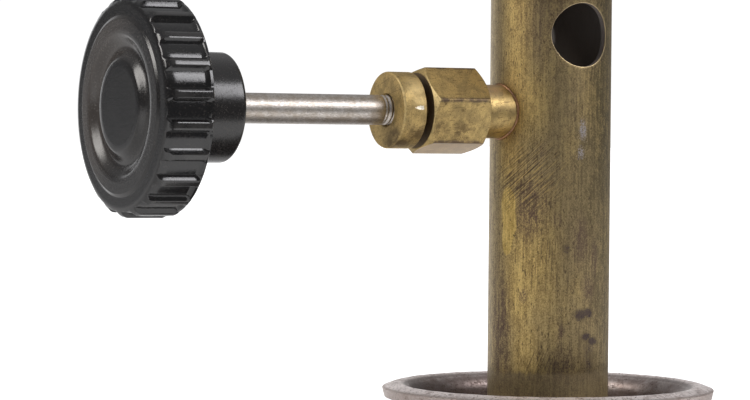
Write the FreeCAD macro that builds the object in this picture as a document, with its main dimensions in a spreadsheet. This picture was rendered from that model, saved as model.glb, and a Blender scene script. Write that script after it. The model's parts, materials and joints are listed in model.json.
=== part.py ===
import FreeCAD, Part
import math
import os
import Sketcher
from types import SimpleNamespace

# Bench gas burner: a brass tube with air holes on a round foot, with a needle valve at its side.
# Millimetres, +Z up. The origin is on the bench, on the axis of the tube.
# The valve points along -X, the air holes along -Y and +Y, the gas inlet along +X.
# The valve stands closed and the air sleeve is up, clear of the air holes.

SIZES = (
    # burner tube and air holes
    ("tube_radius", 10.0, "outside radius of the burner tube"),
    ("tube_wall", 1.25, "wall of the burner tube"),
    ("mouth_rise", 74.7, "mouth of the tube above the air holes' centres"),
    ("mouth_chamfer", 0.3, "chamfer on both edges of the mouth"),
    ("air_hole_radius", 5.2, "radius of the two air holes"),
    ("air_hole_rise", 12.6, "air holes' centres above the valve axis"),
    # foot
    ("foot_radius", 45.0, "outside radius of the foot"),
    ("foot_chamfer", 0.6, "chamfer where the rim meets the bench"),
    ("foot_edge", 3.4, "straight part of the foot's rim"),
    ("foot_round", 2.2, "rounding on top of the rim"),
    ("foot_slope", 3.6, "rise of the foot's top from rim to hub"),
    ("rest_width", 7.0, "width of the ring that the foot rests on"),
    ("foot_skin", 4.4, "thickness of the foot's sloping plate"),
    ("hub_radius", 13.0, "radius of the foot's hub"),
    ("hub_over", 0.8, "top of the hub above the inlet boss"),
    ("hub_fillet", 2.8, "hollow between hub and plate"),
    ("hub_round", 0.8, "rounding on top of the hub"),
    ("nut_recess_radius", 11.5, "recess for the nut under the hub"),
    # gas inlet
    ("inlet_clear", 0.8, "inlet washer above the foot's plate"),
    ("boss_margin", 0.8, "inlet boss beyond its washer, all round"),
    ("boss_stand", 0.2, "boss face beyond the hollow at the hub"),
    ("inlet_thread_radius", 4.6, "thread of the gas inlet"),
    ("inlet_thread_depth", 5.6, "depth of its threaded hole"),
    ("inlet_bore", 2.1, "radius of the gas way through the inlet"),
    ("inlet_flats", 12.0, "inlet hexagon across flats"),
    ("inlet_hex_length", 4.6, "length of the inlet hexagon"),
    ("inlet_neck", 1.6, "plain neck before the first barb"),
    ("barb_count", 4, "barbs on the hose end"),
    ("barb_pitch", 4.4, "length of one barb"),
    ("barb_root", 3.5, "radius between the barbs"),
    ("barb_crest", 4.5, "radius at the top of a barb"),
    ("nose_radius", 3.2, "radius at the tip of the hose end"),
    ("inlet_washer_radius", 6.6, "outside radius of the inlet washer"),
    ("fibre_washer", 0.8, "thickness of each fibre washer"),
    # tail piece and clamp under the foot
    ("stud_radius", 5.0, "threaded stud of the tail piece"),
    ("stud_bore", 2.6, "gas way up the stud"),
    ("stud_port", 1.9, "radius of the cross hole in the stud"),
    ("stud_clear", 2.4, "end of the stud above the bench"),
    ("stud_past", 0.8, "stud beyond the nut"),
    ("gallery_depth", 1.3, "depth of the ring gallery in the hub's bore"),
    ("gallery_room", 0.5, "room in the gallery above and below the gas way"),
    ("nut_flats", 17.0, "base nut across flats"),
    ("nut_height", 4.0, "height of the base nut"),
    ("base_washer", 1.0, "thickness of the washer on the nut"),
    ("base_washer_radius", 9.6, "outside radius of that washer"),
    ("socket_flange_radius", 12.5, "flange of the tail piece"),
    ("socket_flange", 1.6, "thickness of that flange"),
    ("socket_reach", 9.0, "tail piece inside the tube"),
    ("socket_wall", 2.4, "wall of the tail piece inside the tube"),
    # dish
    ("dish_depth", 11.3, "dish from its floor to the crest of its lip"),
    ("dish_sheet", 0.8, "thickness of the dish"),
    ("dish_crest_radius", 25.0, "radius of the lip's crest"),
    ("dish_edge_radius", 27.5, "radius of the lip's outer edge"),
    ("dish_crest_rise", 1.3, "crest of the lip above its outer edge"),
    ("dish_skirt", 1.15, "outer edge of the lip, turned down"),
    ("dish_corner", 5.0, "rounding between floor and wall"),
    # valve body and block
    ("valve_rise", 45.7, "valve axis above the edge of the dish"),
    ("stub_radius", 4.4, "round stub that enters the tube"),
    ("stub_length", 5.15, "stub between tube and hexagon"),
    ("stub_insert", 2.35, "stub inside the tube's bore"),
    ("hex_flats", 12.65, "valve hexagon across flats"),
    ("hex_length", 10.65, "length of the valve hexagon"),
    ("hex_chamfer", 0.75, "length of the hexagon's end chamfers"),
    ("hex_turn", 14.0, "turn of the hexagon about the valve axis, degrees"),
    ("block_roof", 1.4, "block above the stub"),
    ("block_floor", 3.6, "block under the stub"),
    ("chamber_radius", 3.2, "radius of the valve chamber"),
    ("chamber_length", 3.4, "length of the valve chamber"),
    ("seat_radius", 0.9, "radius of the seat's hole and the outlet"),
    ("feed_radius", 1.3, "radius of the gas way up into the chamber"),
    # jet
    ("jet_web", 1.3, "metal between the seat's hole and the jet"),
    ("jet_thread_radius", 2.0, "thread of the jet"),
    ("jet_flange_radius", 3.2, "flange of the jet"),
    ("jet_flange", 0.7, "thickness of that flange"),
    ("jet_nose", 0.8, "height of the jet's nose"),
    ("jet_tip_radius", 1.3, "radius of the nose's tip"),
    ("jet_bore", 0.9, "gas way in the jet"),
    ("jet_orifice", 0.3, "radius of the orifice"),
    # gland
    ("gland_gap", 1.3, "gap between hexagon and collar"),
    ("collar_length", 4.15, "length of the gland collar"),
    ("collar_radius", 6.2, "radius of the gland collar"),
    ("collar_chamfer", 0.35, "chamfer on the collar's edges"),
    ("packing_radius", 3.9, "radius of the packing chamber"),
    ("packing_depth", 6.8, "depth of the packing chamber"),
    ("packing_length", 2.1, "length of the packing"),
    ("packing_washer", 0.5, "thickness of the washer under the packing"),
    # spindle and needle
    ("spindle_radius", 2.43, "radius of the spindle"),
    ("spindle_bare", 29.4, "spindle between gland and knob"),
    ("spindle_set", 0.6, "inner end of the spindle beyond the end of the stub"),
    ("spindle_lip", 0.8, "rolled lip that holds the needle"),
    ("needle_radius", 1.6, "radius of the needle's shank and head"),
    ("needle_neck", 1.1, "radius of the needle's neck"),
    ("needle_head", 1.5, "length of the needle's head"),
    ("needle_reach", 1.0, "needle beyond the seat"),
    ("needle_taper", 1.8, "taper of the needle in front of the seat"),
    ("needle_tip", 0.25, "radius at the needle's point"),
    # knob
    ("knob_hub_radius", 8.7, "hub of the knob"),
    ("knob_hub_length", 9.85, "length of that hub"),
    ("knob_hub_round", 0.7, "rounding at the hub's end"),
    ("knob_radius", 17.3, "ribs of the knob"),
    ("knob_width", 7.8, "width of the knob's rim"),
    ("knob_back_round", 0.5, "rounding at the back of the rim"),
    ("knob_front_round", 1.7, "rounding at the front of the rim"),
    ("knob_flutes", 22, "flutes round the rim"),
    ("flute_depth", 0.8, "depth of a flute"),
    ("flute_width", 3.5, "width between two ribs"),
    ("flute_turn", 6.1, "degrees from the top to the first flute"),
    ("flute_draft", 0.6, "lean of each rib's sides"),
    ("flute_stop", 0.8, "wall that closes each flute at the back of the rim"),
    ("rib_round", 0.35, "rounding on each rib"),
    ("face_rim", 1.4, "flat ring between the front rounding and the raised face"),
    ("face_rise", 0.3, "height of the raised face above that ring"),
    ("face_slope", 0.9, "width of the slope up to the raised face"),
    ("face_band", 2.0, "flat band between that slope and the channel"),
    ("channel_inner", 7.0, "inner radius of the ring channel"),
    ("channel_depth", 1.1, "depth of the ring channel"),
    ("insert_radius", 4.8, "brass insert in the hub"),
    ("insert_length", 11.85, "length of the insert"),
    ("insert_end", 1.0, "closed end of the insert"),
    ("screw_radius", 1.5, "grub screw"),
    ("screw_place", 4.2, "grub screw from the end of the hub"),
    ("screw_sunk", 0.7, "grub screw below the hub's surface"),
    ("screw_flats", 1.5, "socket of the grub screw across flats"),
    ("screw_socket", 1.8, "depth of that socket"),
    # air sleeve
    ("sleeve_gap", 1.6, "sleeve above the air holes"),
    ("sleeve_height", 16.0, "height of the air sleeve"),
    ("sleeve_wall", 1.8, "wall of the air sleeve"),
    ("sleeve_grip", 1.1, "grip band beyond the wall"),
    ("sleeve_grip_height", 5.0, "height of the grip band"),
    ("sleeve_round", 0.5, "chamfer on the sleeve's edges"),
    ("spring_section", 0.9, "thickness of the friction spring"),
    ("spring_height", 1.2, "height of the friction spring"),
    ("spring_gap", 40.0, "opening in the friction spring, degrees"),
    # fits
    ("running_gap", 0.05, "radial clearance of what turns or slides"),
    ("bond_gap", 0.02, "radial clearance of what is screwed, brazed or moulded in"),
    ("end_gap", 0.15, "end clearance of the needle in the spindle"),
    ("seat_gap", 0.12, "clearance between needle and seat when closed"),
)


class Size:
    """A number in millimetres, with the expression on the sheet that gives it."""

    def __init__(self, value, text):
        self.value = value
        self.text = text

    def __add__(self, other):
        other = as_size(other)
        return Size(self.value + other.value, f"({self.text} + {other.text})")

    def __sub__(self, other):
        other = as_size(other)
        return Size(self.value - other.value, f"({self.text} - {other.text})")

    def __mul__(self, other):
        other = as_size(other)
        return Size(self.value * other.value, f"({self.text} * {other.text})")

    def __truediv__(self, other):
        other = as_size(other)
        return Size(self.value / other.value, f"({self.text} / {other.text})")

    def __neg__(self):
        return Size(-self.value, f"(-1 * {self.text})")


def as_size(number):
    """A plain number as a size that stays as it is."""
    return number if isinstance(number, Size) else Size(float(number), repr(float(number)))


doc = FreeCAD.newDocument("burner")
sheet = doc.addObject("Spreadsheet::Sheet", "sizes")
for row, (alias, number, note) in enumerate(SIZES, start=1):
    sheet.set(f"A{row}", note)
    sheet.set(f"B{row}", str(number))
    sheet.setAlias(f"B{row}", alias)
doc.recompute()
size = SimpleNamespace(**{alias: Size(number, f"sizes.{alias}") for alias, number, note in SIZES})

# Heights above the bench, from the foot up
nut_under = size.stud_clear + size.stud_past
nut_top = nut_under + size.nut_height
washer_top = nut_top + size.base_washer
recess_roof = washer_top + size.fibre_washer
foot_crown = size.foot_chamfer + size.foot_edge + size.foot_round + size.foot_slope
boss_radius = size.inlet_washer_radius + size.boss_margin
inlet_height = foot_crown + size.inlet_washer_radius + size.inlet_clear
hub_height = inlet_height + boss_radius + size.hub_over
dish_under = hub_height + size.fibre_washer
dish_floor = dish_under + size.dish_sheet
flange_under = dish_floor + size.fibre_washer
tube_foot = flange_under + size.socket_flange
dish_crest = dish_floor + size.dish_depth
dish_edge = dish_crest - size.dish_crest_rise
valve_height = dish_edge + size.valve_rise
air_hole_height = valve_height + size.air_hole_rise
mouth_height = air_hole_height + size.mouth_rise
sleeve_under = air_hole_height + size.air_hole_radius + size.sleeve_gap

# Distances along the valve, from the tube's axis outwards
tube_bore = size.tube_radius - size.tube_wall
stub_end = tube_bore - size.stub_insert
seat_place = stub_end - size.chamber_length
hex_start = size.tube_radius + size.stub_length
hex_end = hex_start + size.hex_length
collar_back = hex_end + size.gland_gap
collar_face = collar_back + size.collar_length
packing_floor = hex_end - size.packing_depth
packing_start = packing_floor + size.packing_washer
packing_end = packing_start + size.packing_length
hub_end = collar_face + size.spindle_bare
knob_back = hub_end + size.knob_hub_length
knob_front = knob_back + size.knob_width
insert_stop = hub_end + size.insert_length
screw_place = hub_end + size.screw_place

# Shared radii
thread_bore = size.spindle_radius + size.running_gap
inside_tube = tube_bore - size.bond_gap
stud_hole = size.stud_radius + size.bond_gap
boss_face = size.hub_radius + size.hub_fillet + size.boss_stand
block_top = valve_height + size.stub_radius + size.block_roof
jet_seat = valve_height + size.seat_radius + size.jet_web


def at(x, y, radius=None, turn=0):
    """A corner of an outline. With a radius, an arc leaves it, to the left (1) or to the right (-1)."""
    return SimpleNamespace(x=as_size(x), y=as_size(y), radius=radius, turn=turn)


def arc_between(start, end, radius, turn):
    """The shorter arc from start to end. Such an arc runs anticlockwise, so a right-hand one is reversed."""
    chord = end - start
    middle = (start + end) * 0.5
    across = FreeCAD.Vector(-chord.y, chord.x, 0).normalize()
    reach = math.sqrt(max(radius**2 - (chord.Length / 2) ** 2, 0.0))
    centre = middle + across * (reach * turn)
    first, last = (start, end) if turn > 0 else (end, start)
    begin = math.atan2(first.y - centre.y, first.x - centre.x)
    finish = math.atan2(last.y - centre.y, last.x - centre.x)
    circle = Part.Circle(centre, FreeCAD.Vector(0, 0, 1), radius)
    return Part.ArcOfCircle(circle, begin, finish)


def bind(sketch, kind, geometry, point, length):
    """Constrain one coordinate or radius to an expression on the sheet."""
    if kind == "Radius":
        number = sketch.addConstraint(Sketcher.Constraint(kind, geometry, length.value))
    else:
        number = sketch.addConstraint(Sketcher.Constraint(kind, geometry, point, length.value))
    sketch.setExpression(f"Constraints[{number}]", length.text)


def draw_outline(sketch, corners):
    """Draw a closed outline of lines and arcs, with every corner bound to the sheet."""
    ends = []
    for corner, following in zip(corners, corners[1:] + corners[:1]):
        start = FreeCAD.Vector(corner.x.value, corner.y.value, 0)
        end = FreeCAD.Vector(following.x.value, following.y.value, 0)
        if corner.radius:
            edge = arc_between(start, end, corner.radius.value, corner.turn)
        else:
            edge = Part.LineSegment(start, end)
        number = sketch.addGeometry(edge, False)
        ends.append((number, 2, 1) if corner.turn < 0 else (number, 1, 2))
    for here, before, corner in zip(ends, ends[-1:] + ends[:-1], corners):
        sketch.addConstraint(Sketcher.Constraint("Coincident", before[0], before[2], here[0], here[1]))
        bind(sketch, "DistanceX", here[0], here[1], corner.x)
        bind(sketch, "DistanceY", here[0], here[1], corner.y)
        if corner.radius:
            bind(sketch, "Radius", here[0], 0, corner.radius)


def draw_circle(sketch, x, y, radius):
    """Draw one circle, with its centre and radius bound to the sheet."""
    x, y = as_size(x), as_size(y)
    centre = FreeCAD.Vector(x.value, y.value, 0)
    number = sketch.addGeometry(Part.Circle(centre, FreeCAD.Vector(0, 0, 1), radius.value), False)
    bind(sketch, "DistanceX", number, 3, x)
    bind(sketch, "DistanceY", number, 3, y)
    bind(sketch, "Radius", number, 0, radius)


def hexagon(flats):
    """Corners of a hexagon with two of its flats square to the sketch's first axis."""
    half = flats / 2
    corner = flats / math.sqrt(3)
    right = [at(half, -corner / 2), at(half, corner / 2)]
    left = [at(-half, corner / 2), at(-half, -corner / 2)]
    return right + [at(0, corner)] + left + [at(0, -corner)]


def new_body(label):
    body = doc.addObject("PartDesign::Body", label)
    body.Label = label
    return body


def lie_along(body, direction, height):
    """Lay a body's own Z axis along +X or -X at a height above the bench."""
    turn = FreeCAD.Rotation(FreeCAD.Vector(0, 1, 0), 90 * direction)
    body.Placement = FreeCAD.Placement(FreeCAD.Vector(0, 0, height.value), turn)
    body.setExpression("Placement.Base.z", height.text)


def origin_part(body, role):
    return next(part for part in body.Origin.OriginFeatures if part.Role == role)


def new_sketch(body, plane, offset=None):
    """A sketch on one of the body's own planes, or at an offset from it."""
    sketch = body.newObject("Sketcher::SketchObject", f"{body.Name}_sketch")
    sketch.AttachmentSupport = (origin_part(body, plane), [""])
    sketch.MapMode = "FlatFace"
    if offset is not None:
        sketch.setExpression("AttachmentOffset.Base.z", offset.text)
    return sketch


def metal(body):
    """Volume of a body so far."""
    return 0.0 if body.Shape.isNull() else body.Shape.Volume


def spin(body, corners, kind="Revolution", degrees=None):
    """Turn an outline, given as radius and height, round the body's Z axis, to add metal or to cut it."""
    sketch = new_sketch(body, "XZ_Plane")
    draw_outline(sketch, corners)
    doc.recompute()
    before = metal(body)
    feature = body.newObject(f"PartDesign::{kind}", f"{body.Name}_{kind.lower()}")
    feature.Profile = sketch
    feature.ReferenceAxis = (sketch, ["V_Axis"])
    feature.Angle = 360
    if degrees is not None:
        feature.setExpression("Angle", degrees.text)
    doc.recompute()
    if kind == "Groove" and not metal(body) < before:
        raise RuntimeError(f"a groove cut nothing from {body.Label}")
    return feature


def pad(body, sketch, length):
    feature = body.newObject("PartDesign::Pad", f"{body.Name}_pad")
    feature.Profile = sketch
    feature.setExpression("Length", length.text)
    doc.recompute()
    return feature


def cut(body, sketch, length=None, side="One side", onward=False):
    """Cut a sketch's outline against its plane's normal, or along it when onward, or both ways."""
    before = metal(body)
    feature = body.newObject("PartDesign::Pocket", f"{body.Name}_pocket")
    feature.Profile = sketch
    feature.SideType = side
    feature.Reversed = onward
    if length is None:
        feature.Type = "ThroughAll"
    else:
        feature.setExpression("Length", length.text)
    doc.recompute()
    if not metal(body) < before:
        raise RuntimeError(f"a pocket cut nothing from {body.Label}")
    return feature


def drill(body, plane, x, y, radius, offset=None, **options):
    """Cut a round hole, centred at x, y on one of the body's planes."""
    sketch = new_sketch(body, plane, offset)
    draw_circle(sketch, x, y, radius)
    doc.recompute()
    return cut(body, sketch, **options)


def add_hexagon(body, flats, start, length, chamfer, turn=None):
    """Pad a hexagon along the body's Z axis and turn a chamfer on both of its ends."""
    sketch = new_sketch(body, "XY_Plane", start)
    if turn is not None:
        sketch.setExpression("AttachmentOffset.Rotation.Angle", f"{turn.text} * 1 deg")
    draw_outline(sketch, hexagon(flats))
    pad(body, sketch, length)
    # the chamfer starts on the circle inside the flats, and its cut runs on as far again past the corners
    inside = flats / 2
    outside = inside + (flats / math.sqrt(3) - inside) * 2
    fall = chamfer * 2
    end = start + length
    spin(body, [at(inside, start), at(outside, start), at(outside, start + fall)], "Groove")
    spin(body, [at(inside, end), at(outside, end - fall), at(outside, end)], "Groove")


def ring(label, inner, outer, under, top):
    """A plain washer or ring on the body's Z axis."""
    body = new_body(label)
    spin(body, [at(inner, under), at(outer, under), at(outer, top), at(inner, top)])
    return body


def make_base_foot():
    """Cast foot: resting ring, sloping plate, hub, and a boss for the gas inlet."""
    body = new_body("base_foot")
    rim_top = size.foot_chamfer + size.foot_edge
    slope_start = rim_top + size.foot_round
    rest_inner = size.foot_radius - size.rest_width
    hollow_outer = rest_inner - size.foot_chamfer
    hollow_inner = size.nut_recess_radius + size.foot_skin / 2
    spin(
        body,
        [
            at(0, recess_roof),
            at(size.nut_recess_radius, recess_roof),
            at(size.nut_recess_radius, foot_crown - size.foot_skin),
            at(hollow_inner, foot_crown - size.foot_skin),
            at(hollow_outer, slope_start - size.foot_skin + size.foot_chamfer),
            at(rest_inner, 0),
            at(size.foot_radius - size.foot_chamfer, 0),
            at(size.foot_radius, size.foot_chamfer),
            at(size.foot_radius, rim_top, size.foot_round, 1),
            at(size.foot_radius - size.foot_round, slope_start),
            at(size.hub_radius + size.hub_fillet, foot_crown, size.hub_fillet, -1),
            at(size.hub_radius, foot_crown + size.hub_fillet),
            at(size.hub_radius, hub_height - size.hub_round, size.hub_round, 1),
            at(size.hub_radius - size.hub_round, hub_height),
            at(0, hub_height),
        ],
    )
    sketch = new_sketch(body, "YZ_Plane")
    draw_circle(sketch, 0, inlet_height, boss_radius)
    pad(body, sketch, boss_face)
    # bore for the stud, with a ring gallery that carries the gas round it
    gallery = stud_hole + size.gallery_depth
    gallery_half = size.inlet_bore + size.gallery_room
    gallery_low = inlet_height - gallery_half
    gallery_high = inlet_height + gallery_half
    spin(
        body,
        [
            at(0, 0),
            at(stud_hole, 0),
            at(stud_hole, gallery_low),
            at(gallery, gallery_low),
            at(gallery, gallery_high),
            at(stud_hole, gallery_high),
            at(stud_hole, hub_height),
            at(0, hub_height),
        ],
        "Groove",
    )
    thread = size.inlet_thread_radius + size.bond_gap
    drill(body, "YZ_Plane", 0, inlet_height, thread, boss_face, length=size.inlet_thread_depth)
    drill(body, "YZ_Plane", 0, inlet_height, size.inlet_bore, length=boss_face, onward=True)
    return body


def make_gas_inlet():
    """Hose connector: thread, hexagon and a barbed end, with the gas way through it."""
    body = new_body("gas_inlet")
    hexagon_start = boss_face + size.fibre_washer
    hexagon_end = hexagon_start + size.inlet_hex_length
    barbs_start = hexagon_end + size.inlet_neck
    chamfer = size.inlet_flats / 24
    add_hexagon(body, size.inlet_flats, hexagon_start, size.inlet_hex_length, chamfer)
    thread_start = boss_face - size.inlet_thread_depth
    thread = size.inlet_thread_radius
    spin(body, [at(0, thread_start), at(thread, thread_start), at(thread, hexagon_end), at(0, hexagon_end)])
    corners = [at(0, hexagon_start), at(size.barb_root, hexagon_start), at(size.barb_root, barbs_start)]
    barbs = int(size.barb_count.value)
    for index in range(barbs):
        crest = barbs_start + size.barb_pitch * index
        last = index == barbs - 1
        foot_radius = size.nose_radius if last else size.barb_root
        corners.append(at(size.barb_crest, crest))
        corners.append(at(foot_radius, crest + size.barb_pitch))
    corners.append(at(0, barbs_start + size.barb_pitch * barbs))
    spin(body, corners)
    drill(body, "XY_Plane", 0, 0, size.inlet_bore, onward=True)
    lie_along(body, 1, inlet_height)
    return body


def make_inlet_washer():
    inner = size.inlet_thread_radius + size.bond_gap
    body = ring("inlet_washer", inner, size.inlet_washer_radius, boss_face, boss_face + size.fibre_washer)
    lie_along(body, 1, inlet_height)
    return body


def make_tube_socket():
    """Tail piece: closes the foot of the tube, stands on the dish and reaches down through the hub."""
    body = new_body("tube_socket")
    socket_top = tube_foot + size.socket_reach
    spin(
        body,
        [
            at(0, size.stud_clear),
            at(size.stud_radius, size.stud_clear),
            at(size.stud_radius, flange_under),
            at(size.socket_flange_radius, flange_under),
            at(size.socket_flange_radius, tube_foot),
            at(inside_tube, tube_foot),
            at(inside_tube, socket_top),
            at(inside_tube - size.socket_wall, socket_top),
            at(inside_tube - size.socket_wall, tube_foot),
            at(size.stud_bore, tube_foot),
            at(size.stud_bore, inlet_height - size.inlet_bore),
            at(0, inlet_height - size.inlet_bore),
        ],
    )
    drill(body, "YZ_Plane", 0, inlet_height, size.stud_port, side="Symmetric")
    return body


def make_dish():
    """Spun dish, one sheet thick: flat floor, upright wall and a lip that rolls outwards to a short skirt."""
    body = new_body("dish")
    lip_out = size.dish_edge_radius - size.dish_crest_radius
    lip = (lip_out * lip_out + size.dish_crest_rise * size.dish_crest_rise) / (size.dish_crest_rise * 2)
    lip_inner = lip - size.dish_sheet
    lip_height = dish_crest - lip
    wall = size.dish_crest_radius - lip
    outer_wall = wall + size.dish_sheet
    floor_end = wall - size.dish_corner
    corner_top = dish_floor + size.dish_corner
    # the lip ends in a narrow skirt that is turned down
    edge_in = size.dish_crest_radius + lip_out * lip_inner / lip
    edge_low = lip_height + (dish_edge - lip_height) * lip_inner / lip
    spin(
        body,
        [
            at(stud_hole, dish_under),
            at(floor_end, dish_under, size.dish_corner + size.dish_sheet, 1),
            at(outer_wall, corner_top),
            at(outer_wall, lip_height, lip_inner, -1),
            at(edge_in, edge_low),
            at(size.dish_edge_radius - size.dish_sheet, dish_edge - size.dish_skirt),
            at(size.dish_edge_radius, dish_edge - size.dish_skirt),
            at(size.dish_edge_radius, dish_edge, lip, 1),
            at(wall, lip_height),
            at(wall, corner_top, size.dish_corner, -1),
            at(floor_end, dish_floor),
            at(stud_hole, dish_floor),
        ],
    )
    return body


def make_base_nut():
    body = new_body("base_nut")
    chamfer = size.nut_flats / 24
    add_hexagon(body, size.nut_flats, nut_under, size.nut_height, chamfer)
    drill(body, "XY_Plane", 0, 0, stud_hole, onward=True)
    return body


def make_burner_tube():
    """Plain tube with two opposed air holes and the hole for the valve's stub."""
    body = new_body("burner_tube")
    chamfer = size.mouth_chamfer
    spin(
        body,
        [
            at(tube_bore, tube_foot),
            at(size.tube_radius, tube_foot),
            at(size.tube_radius, mouth_height - chamfer),
            at(size.tube_radius - chamfer, mouth_height),
            at(tube_bore + chamfer, mouth_height),
            at(tube_bore, mouth_height - chamfer),
        ],
    )
    drill(body, "XZ_Plane", 0, air_hole_height, size.air_hole_radius, side="Symmetric")
    drill(body, "YZ_Plane", 0, valve_height, size.stub_radius + size.bond_gap)
    return body


def make_valve_block():
    """Plug inside the tube: socket for the stub, chamber, seat, and the gas ways in and out."""
    body = new_body("valve_block")
    under = valve_height - size.stub_radius - size.block_floor
    spin(body, [at(0, under), at(inside_tube, under), at(inside_tube, block_top), at(0, block_top)])
    drill(body, "YZ_Plane", 0, valve_height, size.stub_radius + size.bond_gap, -stub_end)
    drill(body, "YZ_Plane", 0, valve_height, size.chamber_radius, -seat_place)
    drill(body, "YZ_Plane", 0, valve_height, size.seat_radius)
    feed_place = seat_place + size.chamber_length / 2
    drill(body, "XY_Plane", -feed_place, 0, size.feed_radius, valve_height)
    drill(body, "XY_Plane", 0, 0, size.seat_radius, valve_height, onward=True)
    drill(body, "XY_Plane", 0, 0, size.jet_thread_radius + size.bond_gap, jet_seat, onward=True)
    return body


def make_gas_jet():
    """Jet: thread, flange and a conical nose with a fine orifice."""
    body = new_body("gas_jet")
    flange_top = block_top + size.jet_flange
    tip = flange_top + size.jet_nose
    spin(
        body,
        [
            at(size.jet_bore, jet_seat),
            at(size.jet_thread_radius, jet_seat),
            at(size.jet_thread_radius, block_top),
            at(size.jet_flange_radius, block_top),
            at(size.jet_flange_radius, flange_top),
            at(size.jet_thread_radius, flange_top),
            at(size.jet_tip_radius, tip),
            at(size.jet_orifice, tip),
            at(size.jet_orifice, flange_top),
            at(size.jet_bore, block_top),
        ],
    )
    return body


def make_valve_body():
    """Hexagon with a stub for the tube, a threaded bore and a packing chamber."""
    body = new_body("valve_body")
    add_hexagon(body, size.hex_flats, hex_start, size.hex_length, size.hex_chamfer, size.hex_turn)
    stub = size.stub_radius
    spin(body, [at(0, stub_end), at(stub, stub_end), at(stub, hex_end), at(0, hex_end)])
    spin(
        body,
        [
            at(0, stub_end),
            at(thread_bore, stub_end),
            at(thread_bore, packing_floor),
            at(size.packing_radius, packing_floor),
            at(size.packing_radius, hex_end),
            at(0, hex_end),
        ],
        "Groove",
    )
    lie_along(body, -1, valve_height)
    return body


def make_gland_nut():
    """Round collar with a spigot that presses the packing down."""
    body = new_body("gland_nut")
    spigot = size.packing_radius - size.bond_gap
    chamfer = size.collar_chamfer
    spin(
        body,
        [
            at(thread_bore, packing_end),
            at(spigot, packing_end),
            at(spigot, collar_back),
            at(size.collar_radius - chamfer, collar_back),
            at(size.collar_radius, collar_back + chamfer),
            at(size.collar_radius, collar_face - chamfer),
            at(size.collar_radius - chamfer, collar_face),
            at(thread_bore + chamfer, collar_face),
            at(thread_bore, collar_face - chamfer),
        ],
    )
    lie_along(body, -1, valve_height)
    return body


def make_packing(label, start, end):
    """Packing or washer round the spindle, in the packing chamber."""
    body = ring(label, thread_bore, size.packing_radius - size.bond_gap, start, end)
    lie_along(body, -1, valve_height)
    return body


# The spindle's end holds the needle's head behind a rolled lip, so the needle slides but need not turn
spindle_end = stub_end + size.spindle_set
head_start = spindle_end + size.spindle_lip + size.end_gap
head_end = head_start + size.needle_head


def make_valve_spindle():
    """Straight spindle from the valve to the knob, hollow at its inner end for the needle's head."""
    body = new_body("valve_spindle")
    pocket_start = spindle_end + size.spindle_lip
    pocket_end = head_end + size.end_gap
    outer_end = insert_stop - size.insert_end - size.bond_gap
    pocket_radius = size.needle_radius + size.running_gap
    lip_radius = size.needle_neck + size.running_gap
    spin(
        body,
        [
            at(lip_radius, spindle_end),
            at(size.spindle_radius, spindle_end),
            at(size.spindle_radius, outer_end),
            at(0, outer_end),
            at(0, pocket_end),
            at(pocket_radius, pocket_end),
            at(pocket_radius, pocket_start),
            at(lip_radius, pocket_start),
        ],
    )
    lie_along(body, -1, valve_height)
    return body


def make_valve_needle():
    """Needle: point inside the seat, taper, shank, neck and head."""
    body = new_body("valve_needle")
    shank_end = spindle_end - size.end_gap
    spin(
        body,
        [
            at(0, seat_place - size.needle_reach),
            at(size.needle_tip, seat_place - size.needle_reach),
            at(size.seat_radius - size.seat_gap, seat_place),
            at(size.needle_radius, seat_place + size.needle_taper),
            at(size.needle_radius, shank_end),
            at(size.needle_neck, shank_end),
            at(size.needle_neck, head_start),
            at(size.needle_radius, head_start),
            at(size.needle_radius, head_end),
            at(0, head_end),
        ],
    )
    lie_along(body, -1, valve_height)
    return body


def flute_outline():
    """Section of one flute, cut from outside the rim: a flat floor, leaning sides and rounded ribs."""
    rim = size.knob_radius
    floor = rim - size.flute_depth
    wall = rim - size.rib_round
    beyond = rim + size.flute_depth
    half = size.flute_width / 2
    narrow = half - size.flute_draft
    wide = half + size.rib_round
    return [
        at(beyond, wide),
        at(rim, wide, size.rib_round, -1),
        at(wall, half),
        at(floor, narrow),
        at(floor, -narrow),
        at(wall, -half, size.rib_round, -1),
        at(rim, -wide),
        at(beyond, -wide),
    ]


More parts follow.
